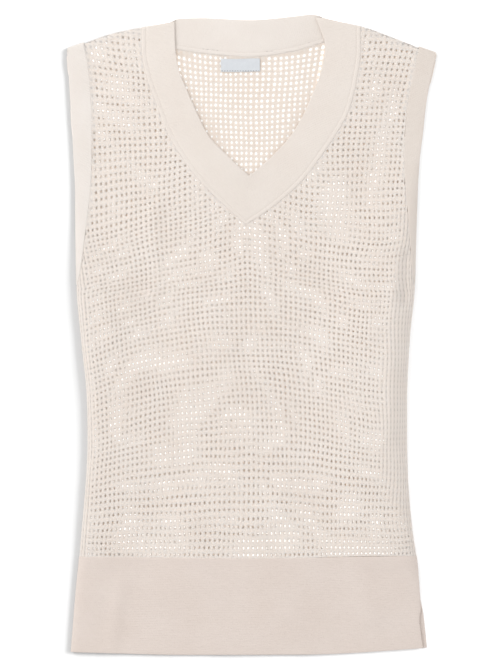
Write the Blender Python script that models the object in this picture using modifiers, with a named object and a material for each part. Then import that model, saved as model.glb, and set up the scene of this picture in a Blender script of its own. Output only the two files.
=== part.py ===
"""A knit sweater vest laid flat, front up: an eyelet-net body with plain neck, armhole and hem bands.

Frame: metres, +Z up, the surface it lies on at z = 0, +Y towards the neck, +X to the right seen from above.
Tables and sizes are in millimetres: "down" runs from the top of the neck band towards the hem, "across" from
the middle of the vest to the right, "inset" from the vest's outline inwards. Each table's row is a section.
"""

import bpy
import numpy as np

MM = 0.001  # metres in a millimetre

# Driving sizes
LENGTH = 641.0  # neck band's top to the hem
BOX_MIDDLE = (0.24, LENGTH / 2 + 0.03)  # across and down of the middle of the vest's whole width and length
FRONT_MIDDLE = -5.5  # the front's middle line, a little off the vest's own
NET_WALL = 1.6
BAND_WALL = 1.8
BAND_RISE = 0.4  # a band's face above the net's
LABEL_WALL = 1.0
SEAM_GAP = 0.3  # pieces stop this far apart where they are sewn
ROLL_CLEAR = 0.15  # more at a seam that runs over a roll, where the walls' inner faces crowd
FRONT_LEVEL = 3.9  # the front net's face where it lies on the back
TUCK_REACH = 4.0  # cloth from a side's widest line down to the surface
TUCK_ANGLE = np.radians(60)
TUCK_RADIUS = 2.0
TUCK_CLEAR = 0.1  # the tucked edge above the surface, so that the flat back carries the vest
SHOULDER_CURL = 3.0  # width over which the front turns down at the shoulder fold
SHOULDER_EDGE = 3.0  # height of the front's face at that fold
BACK_INSET = 3.1  # the back's edge in from the outline, behind the rolled front
BACK_NECK_GAP = 0.48  # the slanting seam below the back neck band, down rather than square to it
FOLD_FADE = 12.0  # folds start this much cloth in from a side
NET_FADE = 60.0  # the net's rows lose the shoulder's slope over this much
NECK_FADE = 20.0  # and the neck band's sections over this much
ARMHOLE_FADE = 8.0  # the armhole band's rows keep clear of the shoulder fold over this much
HEM_TOP = 542.0  # the hem seam at the sides
HEM_FOOT = 639.0  # the hem's edge at the sides
LABEL_WIDTH = 39.0
LABEL_DEPTH = 13.0
LABEL_MIDDLE = (-11.0, 51.0)  # across and down

CREAM_NET = (0.78, 0.70, 0.62)
CREAM_BAND = (0.80, 0.72, 0.65)
LABEL_GREY = (0.74, 0.76, 0.78)


def columns(names, rows):
    """A table's columns by name."""
    return dict(zip(names.split(), np.array(rows, float).T))


OUTLINE = columns("down left right", [
    (0, -187.0, 192.0),
    (36, -184.5, 186.0),
    (56, -183.2, 181.5),
    (86, -181.5, 175.5),
    (116, -179.5, 172.0),
    (146, -178.0, 168.5),
    (176, -176.7, 166.5),
    (236, -176.0, 164.5),
    (271, -175.3, 163.7),
    (326, -170.5, 158.5),
    (386, -164.7, 155.8),
    (426, -164.0, 155.8),
    (456, -165.0, 156.5),
    (486, -167.2, 158.2),
    (516, -169.9, 161.2),
    (546, -172.5, 165.6),
    (576, -175.5, 168.5),
    (606, -178.0, 172.4),
    (641, -180.8, 175.8),
])
SHOULDER_LEFT = columns("across down", [
    (-186.0, 37.0), (-161.5, 27.0), (-141.5, 20.0), (-110.0, 13.0), (-77.0, 7.0),
])
SHOULDER_RIGHT = columns("across down", [
    (70.0, 3.0), (98.5, 9.5), (109.5, 12.0), (148.5, 26.0), (168.5, 34.0), (187.0, 42.0),
])
HEM_SEAM = columns("across down", [(-174.0, 542.0), (0.0, 544.0), (167.0, 541.0)])
HEM_EDGE = columns("across down", [(-181.0, 638.0), (-60.0, 641.0), (60.0, 640.5), (176.0, 634.0)])

# Neck band, each row a section from the seam with the body (outer) to the band's free edge (inner)
NECK_LEFT = columns("outer_across outer_down inner_across inner_down", [
    (-110.0, 13.0, -77.0, 7.0),
    (-110.0, 36.0, -76.0, 34.0),
    (-104.8, 64.0, -73.0, 54.0),
    (-96.2, 88.0, -64.5, 76.0),
    (-84.7, 118.0, -53.5, 101.0),
    (-67.5, 147.0, -42.5, 122.0),
    (-46.5, 173.0, -25.5, 140.0),
    (FRONT_MIDDLE, 211.5, -2.5, 162.0),
])
NECK_RIGHT = columns("outer_across outer_down inner_across inner_down", [
    (109.5, 12.0, 64.0, 3.0),
    (109.6, 37.0, 73.5, 33.0),
    (105.6, 66.0, 68.5, 60.0),
    (98.0, 96.0, 60.0, 82.0),
    (85.0, 120.0, 49.5, 105.0),
    (69.5, 143.0, 38.0, 123.0),
    (50.5, 167.5, 23.5, 139.0),
    (23.5, 191.5, 10.0, 151.5),
    (FRONT_MIDDLE, 211.5, -2.5, 162.0),
])
NECK_BACK = columns("outer_across outer_down inner_across inner_down", [
    (-110.0, 13.0, -77.0, 7.0),
    (-99.5, 27.5, -75.5, 5.0),
    (-76.5, 35.0, -67.0, 4.0),
    (-46.5, 39.5, -45.0, 3.6),
    (-1.5, 43.0, -1.5, 5.6),
    (43.5, 37.0, 41.5, 2.0),
    (73.5, 28.0, 60.0, 0.0),
    (94.0, 22.0, 67.0, 1.4),
    (109.5, 12.0, 70.5, 3.4),
])

# Armhole band, each row a section from its seam with the body to its free edge. The front leaf rolls round the
# side below the chest: its edge goes past the widest line by "edge_reach" of cloth. The back leaf lies flat.
ARMHOLE_LEFT = columns("seam_down edge_down seam_inset edge_reach back_seam back_edge", [
    (30.0, 36.5, 17.5, 0.0, 17.5, 0.8),
    (60.0, 61.0, 20.5, 0.0, 20.5, 0.8),
    (86.0, 86.0, 21.0, 0.0, 21.0, 0.8),
    (136.0, 136.0, 19.0, 0.0, 19.0, 0.8),
    (176.0, 176.0, 15.8, 0.0, 15.8, 0.8),
    (201.0, 201.0, 12.8, -0.6, 12.8, 2.0),
    (226.0, 226.0, 9.5, -2.0, 11.5, 2.8),
    (247.0, 249.0, 6.5, -3.2, 10.0, 2.8),
    (266.0, 275.5, 2.5, -TUCK_REACH, 5.5, 2.8),
])
ARMHOLE_RIGHT = columns("seam_down edge_down seam_inset edge_reach back_seam back_edge", [
    (34.0, 41.0, 19.0, 0.0, 19.0, 0.8),
    (58.0, 60.0, 19.0, 0.0, 19.0, 0.8),
    (91.0, 91.0, 19.0, 0.0, 19.0, 0.8),
    (136.0, 136.0, 17.0, 0.0, 17.0, 0.8),
    (166.0, 166.0, 14.0, 0.0, 14.0, 0.8),
    (191.0, 191.0, 10.6, -0.6, 11.5, 2.0),
    (221.0, 221.0, 7.2, -2.0, 10.5, 2.8),
    (245.0, 248.0, 4.8, -3.2, 9.0, 2.8),
    (266.0, 275.5, 2.5, -TUCK_REACH, 5.5, 2.8),
])

# How each side of the front rolls: height of its widest line and of the roll's top, the roll's radius, how far
# the top takes to settle to the level of the middle, and the reach at which the cloth starts
ROLL_LEFT = columns("down widest top radius settle start", [
    (0, 3.9, 3.9, 4.0, 40, 0.0),
    (150, 3.9, 3.9, 4.0, 40, 0.0),
    (190, 3.7, 5.0, 6.0, 50, 0.0),
    (230, 3.5, 8.5, 9.0, 65, -2.2),
    (276, 3.5, 11.0, 11.0, 75, -TUCK_REACH),
    (386, 3.6, 12.0, 12.0, 85, -TUCK_REACH),
    (500, 3.5, 10.5, 11.0, 75, -TUCK_REACH),
    (560, 3.2, 7.5, 8.0, 60, -TUCK_REACH),
    (641, 3.0, 6.0, 6.0, 50, -TUCK_REACH),
])
ROLL_RIGHT = columns("down widest top radius settle start", [
    (0, 3.9, 3.9, 4.0, 40, 0.0),
    (120, 3.9, 3.9, 4.0, 40, 0.0),
    (176, 3.7, 8.0, 9.0, 60, 0.0),
    (230, 3.6, 14.0, 15.0, 75, -2.2),
    (276, 3.6, 17.0, 18.0, 85, -TUCK_REACH),
    (386, 3.8, 18.0, 20.0, 95, -TUCK_REACH),
    (500, 3.6, 14.0, 16.0, 85, -TUCK_REACH),
    (546, 3.5, 10.0, 12.0, 70, -TUCK_REACH),
    (562, 3.6, 7.5, 8.0, 60, 0.0),
    (590, 3.9, 5.0, 6.0, 50, 0.0),
    (641, 3.9, 4.4, 6.0, 50, 0.0),
])
# At the right of the hem the front stops short and the back shows beyond it
HEM_STEP = columns("down front_inset back_inset", [
    (0, 0.0, BACK_INSET),
    (566, 0.0, BACK_INSET),
    (592, 1.2, 0.6),
    (608, 4.6, 0.0),
    (641, 3.2, 0.0),
])

# The front's largest soft folds: ridges above zero, troughs below
FOLDS = columns("from_across from_down to_across to_down width height", [
    (-132.0, 572.0, -141.0, 641.0, 7.0, 1.7),
    (154.0, 242.0, 152.0, 288.0, 5.0, -4.5),
    (141.0, 262.0, 138.0, 420.0, 8.0, 2.2),
    (84.0, 240.0, 122.0, 318.0, 11.0, 1.8),
    (-99.0, 196.0, -96.0, 280.0, 8.0, 1.6),
    (-60.0, 262.0, -26.0, 330.0, 16.0, 1.4),
    (-66.0, 372.0, 10.0, 360.0, 15.0, 1.5),
    (-92.0, 432.0, -60.0, 505.0, 14.0, 1.6),
    (30.0, 430.0, 92.0, 470.0, 15.0, 1.7),
    (0.0, 520.0, 36.0, 470.0, 13.0, 1.3),
    (-146.0, 300.0, -138.0, 330.0, 8.0, 1.2),
    (96.0, 505.0, 118.0, 600.0, 14.0, 1.4),
])

SIDE_STEPS = (0.0, 0.004, 0.02, 0.04)  # shares of a row's cloth close to its side, short to keep round the roll
SHOULDER_ROWS = (0.0, 0.4, 1.4, 3.2)  # rows close below the shoulder fold
CHEST_ROWS = 14  # rows from there to the V's point
UNDERARM_ROWS = 6  # rows from the V's point to the armhole's foot
WAIST_ROWS = 15  # rows from the armhole's foot to the hem seam
ARMHOLE_FOOT = 266.0  # where the armhole band's seam ends at the side
ARMHOLE_CLOSE = 278.5  # where the body's cloth reaches the surface below it
BACK_NECK_SECTIONS = 16
HEM_ROWS = 8
SHARES_OVER = 13  # points across half a panel or a whole back band, past the side steps


def curve(table, by, of, at):
    """The smooth curve of one column over another: cubics whose slopes never overshoot a row."""
    known, value = table[by], table[of]
    step = np.diff(known)
    slope = np.diff(value) / step
    before, after = slope[:-1], slope[1:]
    same_way = before * after > 0
    safe = np.where(same_way, before + after, 1.0)
    inner = np.where(same_way, 2 * before * after / safe, 0.0)
    tangent = np.concatenate([slope[:1], inner, slope[-1:]])
    at = np.clip(at, known[0], known[-1])
    i = np.clip(np.searchsorted(known, at, side="right") - 1, 0, len(step) - 1)
    t = (at - known[i]) / step[i]
    return (
        value[i] * (1 + 2 * t) * (1 - t) ** 2
        + value[i + 1] * (3 - 2 * t) * t**2
        + step[i] * (tangent[i] * t * (1 - t) ** 2 - tangent[i + 1] * (1 - t) * t**2)
    )


def along(table, column, share):
    """A column's smooth value at a share of the way down its rows."""
    rows = np.arange(len(table[column]), dtype=float)
    return curve({"row": rows, "value": table[column]}, "row", "value", share * rows[-1])


def armhole(side):
    """A side's table of the armhole band."""
    return ARMHOLE_LEFT if side == "left" else ARMHOLE_RIGHT


def neck(side):
    """A side's table of the front neck band."""
    return NECK_LEFT if side == "left" else NECK_RIGHT


def roll_side(side):
    """A side's table of rolls, its outline's column and the sign of "outwards" across."""
    return (ROLL_LEFT, "left", -1.0) if side == "left" else (ROLL_RIGHT, "right", 1.0)


def front_edge(side, down):
    """Across of the front's widest line."""
    _, name, outwards = roll_side(side)
    edge = curve(OUTLINE, "down", name, down)
    if side == "right":
        edge = edge - outwards * curve(HEM_STEP, "down", "front_inset", down)
    return edge


def reach_at(side, inset, down):
    """The reach, cloth in from the widest line, of a point this far in from it."""
    radius = curve(roll_side(side)[0], "down", "radius", down)
    on_roll = radius * np.arccos(1 - np.clip(inset / radius, 0, 1))
    return np.where(inset < radius, on_roll, inset + radius * (np.pi / 2 - 1))


def folds(across, down):
    """Each fold's height, falling off as a bell with the distance from its line."""
    total = np.zeros_like(across)
    for x0, y0, x1, y1, width, height in zip(*FOLDS.values()):
        run_x, run_y = x1 - x0, y1 - y0
        share = np.clip(((across - x0) * run_x + (down - y0) * run_y) / (run_x**2 + run_y**2), 0, 1)
        away = np.hypot(across - x0 - share * run_x, down - y0 - share * run_y)
        total += height * np.exp(-((away / width) ** 2))
    return total


def shoulder_line(side, across):
    """Down of the shoulder fold."""
    table = SHOULDER_LEFT if side == "left" else SHOULDER_RIGHT
    return curve(table, "across", "down", across)


def front_skin(side, reach, down):
    """The front's outer face at a reach in from a side: across and height.

    Behind the widest line the cloth tucks under to the surface. Ahead of it it climbs a quarter of an ellipse
    and then settles to the middle's level, with the folds added and the shoulder edge turned down.
    """
    table, _, outwards = roll_side(side)
    widest, top, radius, settle = (
        curve(table, "down", name, down) for name in ("widest", "top", "radius", "settle")
    )
    tuck = np.clip(-reach / TUCK_REACH, 0, 1) * TUCK_ANGLE
    turn = np.clip(reach / radius, 0, np.pi / 2)
    past = np.clip(reach - radius * np.pi / 2, 0, None)
    inset = np.where(reach < 0, TUCK_RADIUS * (1 - np.cos(tuck)), radius * (1 - np.cos(turn)) + past)
    fall = np.clip(past / settle, 0, 1)
    settled = (1 - fall) ** 2 * (1 + 2 * fall)
    on_roll = widest + (top - widest) * np.sin(turn)
    height = np.where(past > 0, FRONT_LEVEL + (top - FRONT_LEVEL) * settled, on_roll)
    tucked = widest - (widest - TUCK_CLEAR) * np.sin(tuck) / np.sin(TUCK_ANGLE)
    height = np.where(reach < 0, tucked, height)
    across = front_edge(side, down) - outwards * inset
    height = height + folds(across, down) * np.clip(reach / FOLD_FADE, 0, 1)
    near = np.clip(1 - (down - shoulder_line(side, across)) / SHOULDER_CURL, 0, 1)
    height = height - (height - SHOULDER_EDGE) * (1 - np.sqrt(1 - near**2)) * (near > 0)
    return across, height


def placed(across, down, height):
    """Points of a grid in metres, about the middle of the vest's box."""
    return np.stack([across - BOX_MIDDLE[0], BOX_MIDDLE[1] - down, height], axis=-1) * MM


def raised(grid, outwards):
    """A band's face: a grid of points moved out along its own normals, less so where it meets the surface."""
    run, rise = np.gradient(grid, axis=1), np.gradient(grid, axis=0)
    normal = np.cross(run, rise)
    normal /= np.linalg.norm(normal, axis=2, keepdims=True)
    share = np.clip(grid[:, :, 2:] / (3 * MM), 0, 1)
    return grid + outwards * normal * share * BAND_RISE * MM


def grid_quads(rows, cols):
    """The faces between neighbouring points of a grid."""
    index = np.arange(rows * cols).reshape(rows, cols)
    return np.stack([index[:-1, :-1], index[:-1, 1:], index[1:, 1:], index[1:, :-1]], axis=-1).reshape(-1, 4)


def looks_up(grid, quads):
    """Whether a grid's faces look up on the whole."""
    corners = grid.reshape(-1, 3)[quads[:, [0, 1, 3]]]
    facing = np.cross(corners[:, 1] - corners[:, 0], corners[:, 2] - corners[:, 0])
    return facing[:, 2].sum() > 0


def cloth(name, points, quads, wall, colour):
    """One piece of cloth: its outer face, joined where its grids meet, with the wall inside it."""
    mesh = bpy.data.meshes.new(name)
    mesh.from_pydata(points.tolist(), [], quads.tolist())
    mesh.shade_smooth()
    mesh.materials.append(knit(name, colour))
    piece = bpy.data.objects.new(name, mesh)
    vest.objects.link(piece)
    weld = piece.modifiers.new("join the halves", "WELD")
    weld.merge_threshold = 0.00005
    solid = piece.modifiers.new("wall", "SOLIDIFY")
    solid.thickness = wall * MM
    solid.offset = -1
    solid.use_quality_normals = True
    return piece


def sheet(name, grids, wall, colour, up=True):
    """A piece whose outer face looks up, or down where it lies on the surface."""
    points, quads, start = [], [], 0
    for grid in grids:
        rows, cols = grid.shape[:2]
        faces = grid_quads(rows, cols)
        if looks_up(grid, faces) != up:
            faces = faces[:, ::-1]
        points.append(grid.reshape(-1, 3))
        quads.append(faces + start)
        start += rows * cols
    return cloth(name, np.concatenate(points), np.concatenate(quads), wall, colour)


def knit(name, colour):
    """A matt yarn finish in the given colour."""
    material = bpy.data.materials.new(name)
    material.use_nodes = True
    shader = material.node_tree.nodes["Principled BSDF"]
    shader.inputs["Base Color"].default_value = (*colour, 1.0)
    shader.inputs["Roughness"].default_value = 0.9
    shader.inputs["Metallic"].default_value = 0.0
    return material


def neck_shares():
    """Shares of the way down a front neck band, with close rows at the shoulder fold."""
    return np.concatenate([[0.0, 0.004, 0.012, 0.025], np.linspace(0.07, 1.0, CHEST_ROWS)])


def armhole_rows(side):
    """Rows down an armhole's seam, shared by the band and the two panels."""
    top = armhole(side)["seam_down"][0]
    tip = NECK_LEFT["outer_down"][-1]
    chest = np.linspace(top + 12, tip, CHEST_ROWS)
    underarm = np.linspace(tip, ARMHOLE_FOOT, UNDERARM_ROWS + 1)[1:]
    return np.concatenate([top + np.array(SHOULDER_ROWS), chest, underarm])


def side_rows(side):
    """Rows down a side of the body: the armhole's, then those from its foot to the hem seam."""
    low = curve(HEM_SEAM, "across", "down", front_edge(side, HEM_TOP)) - SEAM_GAP
    return np.concatenate([armhole_rows(side), np.linspace(ARMHOLE_CLOSE, low, WAIST_ROWS)])


def seam_offset(table, share, gap):
    """The front neck seam moved out by a gap, square to its run."""
    across, down = along(table, "outer_across", share), along(table, "outer_down", share)
    run_x, run_y = np.gradient(across), np.gradient(down)
    length = np.hypot(run_x, run_y)
    away = np.sign(across[0]) * gap / length
    return across + away * run_y, down + np.abs(away * run_x)


def half_front(side):
    """Half of the front net: rows from the side in to the neck seam, or to the middle below it."""
    _, _, outwards = roll_side(side)
    outer_y = side_rows(side)
    inner_x, inner_y = np.full_like(outer_y, FRONT_MIDDLE), outer_y.copy()
    seam_x, seam_y = seam_offset(neck(side), neck_shares(), SEAM_GAP)
    tip = len(seam_x) - 1
    inner_x[:tip], inner_y[:tip] = seam_x[:tip], seam_y[:tip]
    inner_y[0] = neck(side)["outer_down"][0]
    inner_y[tip] = neck(side)["outer_down"][-1] + 2 * SEAM_GAP
    middle_low = curve(HEM_SEAM, "across", "down", FRONT_MIDDLE) - SEAM_GAP
    inner_y[-WAIST_ROWS:] = np.linspace(ARMHOLE_CLOSE, middle_low, WAIST_ROWS)
    start = front_start(side, outer_y)
    share = np.concatenate([SIDE_STEPS, np.linspace(0.07, 1.0, SHARES_OVER)])[None, :]
    down = outer_y[:, None] + (inner_y - outer_y)[:, None] * share
    inner_inset = outwards * (front_edge(side, inner_y) - inner_x)
    inner_reach = reach_at(side, inner_inset, inner_y)
    reach = start[:, None] + (inner_reach - start)[:, None] * share
    level, _ = front_skin(side, reach, down)
    bend = (shoulder_line(side, level) - down)[0]
    fade = np.clip(1 - (down - down[0]) / NET_FADE, 0, 1)
    down = down + bend * fade**2 * (share > 0)
    across, height = front_skin(side, reach, down)
    across[:, -1] = inner_x
    return placed(across, down, height)


def front_start(side, down):
    """Reach at which the front net starts: at the armhole band's seam, and below its foot at the tuck."""
    seam_inset = curve(armhole(side), "seam_down", "seam_inset", down)
    at_seam = reach_at(side, seam_inset, down) + SEAM_GAP + ROLL_CLEAR
    return np.where(down > ARMHOLE_FOOT, -TUCK_REACH, at_seam)


def make_front_panel():
    """The front net, its halves joined down the middle below the V."""
    return sheet("front_panel", [half_front("left"), half_front("right")], NET_WALL, CREAM_NET)


def back_edge(side, down):
    """Across of the back panel's edge: at the armhole band's back seam, and below it behind the rolled front."""
    _, name, outwards = roll_side(side)
    inset = curve(armhole(side), "seam_down", "back_seam", down) + SEAM_GAP
    inset = np.where(down > ARMHOLE_FOOT, BACK_INSET, inset)
    if side == "right":
        inset = np.where(down > ARMHOLE_CLOSE, curve(HEM_STEP, "down", "back_inset", down), inset)
    return curve(OUTLINE, "down", name, down) - outwards * inset


def back_neck_seam(across):
    """Down of the seam between the back net and its neck band."""
    return curve(NECK_BACK, "outer_across", "outer_down", across)


def make_back_panel():
    """The back net, flat on the surface: rows run from the shoulders and the neck seam down to the hem seam."""
    left_down, right_down = side_rows("left")[:, None], side_rows("right")[:, None]
    left, right = back_edge("left", left_down), back_edge("right", right_down)
    neck_x = along(NECK_BACK, "outer_across", np.linspace(0, 1, BACK_NECK_SECTIONS))
    neck_share = (neck_x - left[0]) / (right[0] - left[0])
    shares = np.concatenate([
        np.linspace(0, neck_share[0], 4)[:-1], neck_share, np.linspace(neck_share[-1], 1, 4)[1:],
    ])[None, :]
    across = left + (right - left) * shares
    top_x = across[0]
    top = np.where(top_x < 0, shoulder_line("left", top_x), shoulder_line("right", top_x))
    in_neck = (top_x > neck_x[0] - SEAM_GAP) & (top_x < neck_x[-1] + SEAM_GAP)
    top = np.where(in_neck, back_neck_seam(top_x) + BACK_NECK_GAP, top)
    side_down = left_down + (right_down - left_down) * shares
    climb = (side_down - side_down[0]) / (side_down[-1] - side_down[0])
    low = curve(HEM_SEAM, "across", "down", across[-1]) - SEAM_GAP
    down = top + (low - top) * climb
    down[:, :1], down[:, -1:] = left_down, right_down
    grid = placed(across, down, np.zeros_like(across))
    return sheet("back_panel", [grid], NET_WALL, CREAM_NET, up=False)


def make_front_hem_band():
    """The front hem band: both halves' rolls meet in the middle."""
    grids = []
    for side in ("left", "right"):
        _, _, outwards = roll_side(side)
        share = np.concatenate([SIDE_STEPS, np.linspace(0.07, 1.0, SHARES_OVER)])[None, :]
        rows = np.linspace(0, 1, HEM_ROWS)[:, None]
        top = curve(HEM_SEAM, "across", "down", front_edge(side, HEM_TOP)) + SEAM_GAP
        low = curve(HEM_EDGE, "across", "down", front_edge(side, HEM_FOOT))
        guess = top + (low - top) * rows
        start = curve(roll_side(side)[0], "down", "start", guess)
        inner = reach_at(side, outwards * (front_edge(side, guess) - FRONT_MIDDLE), guess)
        reach = start + (inner - start) * share
        down = guess + 0 * share
        for _ in range(2):
            across, _ = front_skin(side, reach, down)
            top_row = curve(HEM_SEAM, "across", "down", across) + SEAM_GAP
            low_row = curve(HEM_EDGE, "across", "down", across)
            down = top_row + (low_row - top_row) * rows
        across, height = front_skin(side, reach, down)
        across[:, -1] = FRONT_MIDDLE
        grids.append(raised(placed(across, down, height), outwards))
    return sheet("front_hem_band", grids, BAND_WALL, CREAM_BAND)


def make_back_hem_band():
    """The back hem band, flat on the surface behind the front's."""
    rows = np.linspace(0, 1, HEM_ROWS)[:, None]
    share = np.linspace(0, 1, SHARES_OVER)[None, :]
    guess = HEM_TOP + (HEM_FOOT - HEM_TOP) * rows
    left, right = back_edge("left", guess), back_edge("right", guess)
    across = left + (right - left) * share
    top = curve(HEM_SEAM, "across", "down", across) + SEAM_GAP
    low = curve(HEM_EDGE, "across", "down", across)
    grid = placed(across, top + (low - top) * rows, np.zeros_like(across))
    return sheet("back_hem_band", [grid], BAND_WALL, CREAM_BAND, up=False)


def make_neck_front(side):
    """Half of the front neck band: sections along the V, from the body seam in to the free edge."""
    _, _, outwards = roll_side(side)
    outer_x, outer_y, inner_x, inner_y = (along(neck(side), column, neck_shares()) for column in neck(side))
    part = np.linspace(0, 1, 6)[None, :]
    across = outer_x[:, None] + (inner_x - outer_x)[:, None] * part
    down = outer_y[:, None] + (inner_y - outer_y)[:, None] * part
    bend = (shoulder_line(side, across) - down)[0]
    down = down + bend * np.clip(1 - (down - down[0]) / NECK_FADE, 0, 1) ** 2
    across[-1] += outwards * SEAM_GAP / 2
    inset = outwards * (front_edge(side, down) - across)
    _, height = front_skin(side, reach_at(side, inset, down), down)
    return sheet(f"neck_band_{side}", [placed(across, down, height + BAND_RISE)], BAND_WALL, CREAM_BAND)


def make_neck_back():
    """The neck band across the back, flat, from shoulder fold to shoulder fold."""
    shares = np.linspace(0, 1, BACK_NECK_SECTIONS)
    outer_x = along(NECK_BACK, "outer_across", shares)
    outer_y = back_neck_seam(outer_x)
    inner_x, inner_y = along(NECK_BACK, "inner_across", shares), along(NECK_BACK, "inner_down", shares)
    part = np.linspace(0, 1, 4)[None, :]
    across = outer_x[:, None] + (inner_x - outer_x)[:, None] * part
    down = outer_y[:, None] + (inner_y - outer_y)[:, None] * part
    grid = placed(across, down, np.zeros_like(across))
    return sheet("neck_band_back", [grid], BAND_WALL, CREAM_BAND, up=False)


def make_armhole_band(side):
    """One strip: up the front leaf, round the shoulder fold in a half circle, and down the flat back leaf."""
    table = armhole(side)
    _, name, outwards = roll_side(side)
    part = np.array([0.0, 0.2, 0.4, 0.6, 0.8, 0.96, 1.0])[None, :]
    fold_radius = (FRONT_LEVEL + BAND_RISE) / 2
    seam_y = armhole_rows(side)
    edge_y, edge_reach, seam_inset, back_edge_inset, back_seam_inset = (
        curve(table, "seam_down", column, seam_y)
        for column in ("edge_down", "edge_reach", "seam_inset", "back_edge", "back_seam")
    )
    down = edge_y[:, None] + (seam_y - edge_y)[:, None] * part
    seam_reach = reach_at(side, seam_inset, seam_y)
    reach = edge_reach[:, None] + (seam_reach - edge_reach)[:, None] * part
    across, height = front_skin(side, reach, down)
    at_shoulder = down < down[0] + 2 * SHOULDER_CURL
    height = np.where(at_shoulder, FRONT_LEVEL, height)
    lowered = fold_radius * np.clip(1 - (seam_y - seam_y[0]) / ARMHOLE_FADE, 0, 1)[:, None]
    front = raised(placed(across, down + lowered, height), outwards)
    down = down + lowered
    turn = np.radians(np.arange(30, 180, 30))[:, None]
    fold_down = down[0] - fold_radius * np.sin(turn)
    fold_height = fold_radius * (1 + np.cos(turn)) + 0 * part
    fold = placed(across[0] + 0 * turn, fold_down, fold_height)
    back_inset = back_edge_inset[:, None] + (back_seam_inset - back_edge_inset)[:, None] * part
    back_down = seam_y[:, None] + lowered + (edge_y - seam_y)[:, None] * (1 - part) * (seam_y < 100)[:, None]
    back_across = curve(OUTLINE, "down", name, back_down) - outwards * back_inset
    back_across[0] = across[0]
    back = placed(back_across, back_down, np.zeros_like(back_down))
    strip = np.concatenate([front[::-1], fold, back])
    quads = grid_quads(*strip.shape[:2])
    if outwards > 0:
        quads = quads[:, ::-1]
    return cloth(f"armhole_band_{side}", strip.reshape(-1, 3), quads, BAND_WALL, CREAM_BAND)


def make_label():
    """The blank woven label, just below the back neck band, on the inside of the back."""
    span = np.linspace(-0.5, 0.5, 4)
    across, down = np.meshgrid(LABEL_MIDDLE[0] + span * LABEL_WIDTH, LABEL_MIDDLE[1] + span * LABEL_DEPTH)
    height = np.full_like(across, NET_WALL + SEAM_GAP)
    grid = placed(across, down, height)
    return sheet("neck_label", [grid], LABEL_WALL, LABEL_GREY, up=False)


for old in list(bpy.data.objects):
    bpy.data.objects.remove(old)
vest = bpy.data.collections.new("sweater_vest")
bpy.context.scene.collection.children.link(vest)

make_front_panel()
make_back_panel()
make_front_hem_band()
make_back_hem_band()
make_neck_front("left")
make_neck_front("right")
make_neck_back()
make_armhole_band("left")
make_armhole_band("right")
make_label()
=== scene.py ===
# %% [markdown]
# # A knit sweater vest, laid flat
# The vest lies on its back, front up: an open eyelet-net body, a wide plain band round the V neck, narrow bands
# round the armholes and a deep plain band at the hem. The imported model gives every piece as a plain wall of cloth.
# Here each wall is replaced by cloth of the same form: real holes in the net, soft edges, seams and yarn.
# All sizes below are in millimetres, and become metres only where a mesh is made.

import bpy
import numpy as np
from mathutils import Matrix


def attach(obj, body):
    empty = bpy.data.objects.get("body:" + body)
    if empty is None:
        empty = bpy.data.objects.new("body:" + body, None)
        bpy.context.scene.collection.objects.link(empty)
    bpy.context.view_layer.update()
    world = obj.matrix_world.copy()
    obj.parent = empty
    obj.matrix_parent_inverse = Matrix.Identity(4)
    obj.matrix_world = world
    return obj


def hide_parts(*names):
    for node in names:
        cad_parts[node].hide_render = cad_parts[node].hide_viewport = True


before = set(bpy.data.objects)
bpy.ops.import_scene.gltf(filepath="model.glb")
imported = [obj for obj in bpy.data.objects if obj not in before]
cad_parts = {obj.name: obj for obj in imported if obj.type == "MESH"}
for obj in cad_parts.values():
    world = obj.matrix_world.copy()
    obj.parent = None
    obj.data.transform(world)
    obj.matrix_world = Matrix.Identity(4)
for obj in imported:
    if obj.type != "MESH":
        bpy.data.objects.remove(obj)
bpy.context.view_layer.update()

# %% [markdown]
# ## Sizes and tables
# The vest's outline, seams and rolls repeat the sizes that the solids were made from. "down" runs from the top of
# the neck band to the hem, "across" runs to the right from the vest's middle line, and "inset" runs inwards from
# the outline. A smooth curve through each table's rows gives every value between them.

# %% Sizes
MM = 0.001  # metres in a millimetre
LENGTH = 641.0  # neck band's top to the hem
BOX_MIDDLE = (0.24, LENGTH / 2 + 0.03)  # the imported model's middle, across and down
FRONT_MIDDLE = -5.5  # across of the V's point
NET_WALL = 1.6  # the back net's face above the table
STRAND = 1.2  # the net's strands, thinner than the solids' plain wall
BAND_WALL = 1.8
BAND_RISE = 0.4  # a band's face above the net's
ARMHOLE_RISE = 0.2  # the same for the armhole bands, which are sewn on edge to edge
SEAM_GAP = 0.3  # the hem's seam line lies this far below the net's
FRONT_LEVEL = 3.9  # the front net's face where it lies on the back
TUCK_REACH = 4.0  # cloth from a side's widest line down to the surface
TUCK_ANGLE = np.radians(60)
TUCK_RADIUS = 2.0
TUCK_CLEAR = 0.1  # the tucked edge's height above the table
SHOULDER_CURL = 3.0  # the front turns down over this much at the shoulder
SHOULDER_EDGE = 2.3  # and ends at this height
BACK_INSET = 3.1  # the back's side behind the rolled front
FOLD_FADE = 12.0  # folds fade out over this much at the sides
ARMHOLE_FOOT = 266.0  # down of the underarm
FOOT_BLEND = 12.5  # below it, seams change to plain sides over this much
NET_UNDER_ARM, NET_UNDER_NECK, NET_UNDER_NAPE = 1.0, 4.5, 2.8  # the net runs on under each band


def columns(names, rows):
    """A table's columns by name."""
    return dict(zip(names.split(), np.array(rows, float).T))


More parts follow.
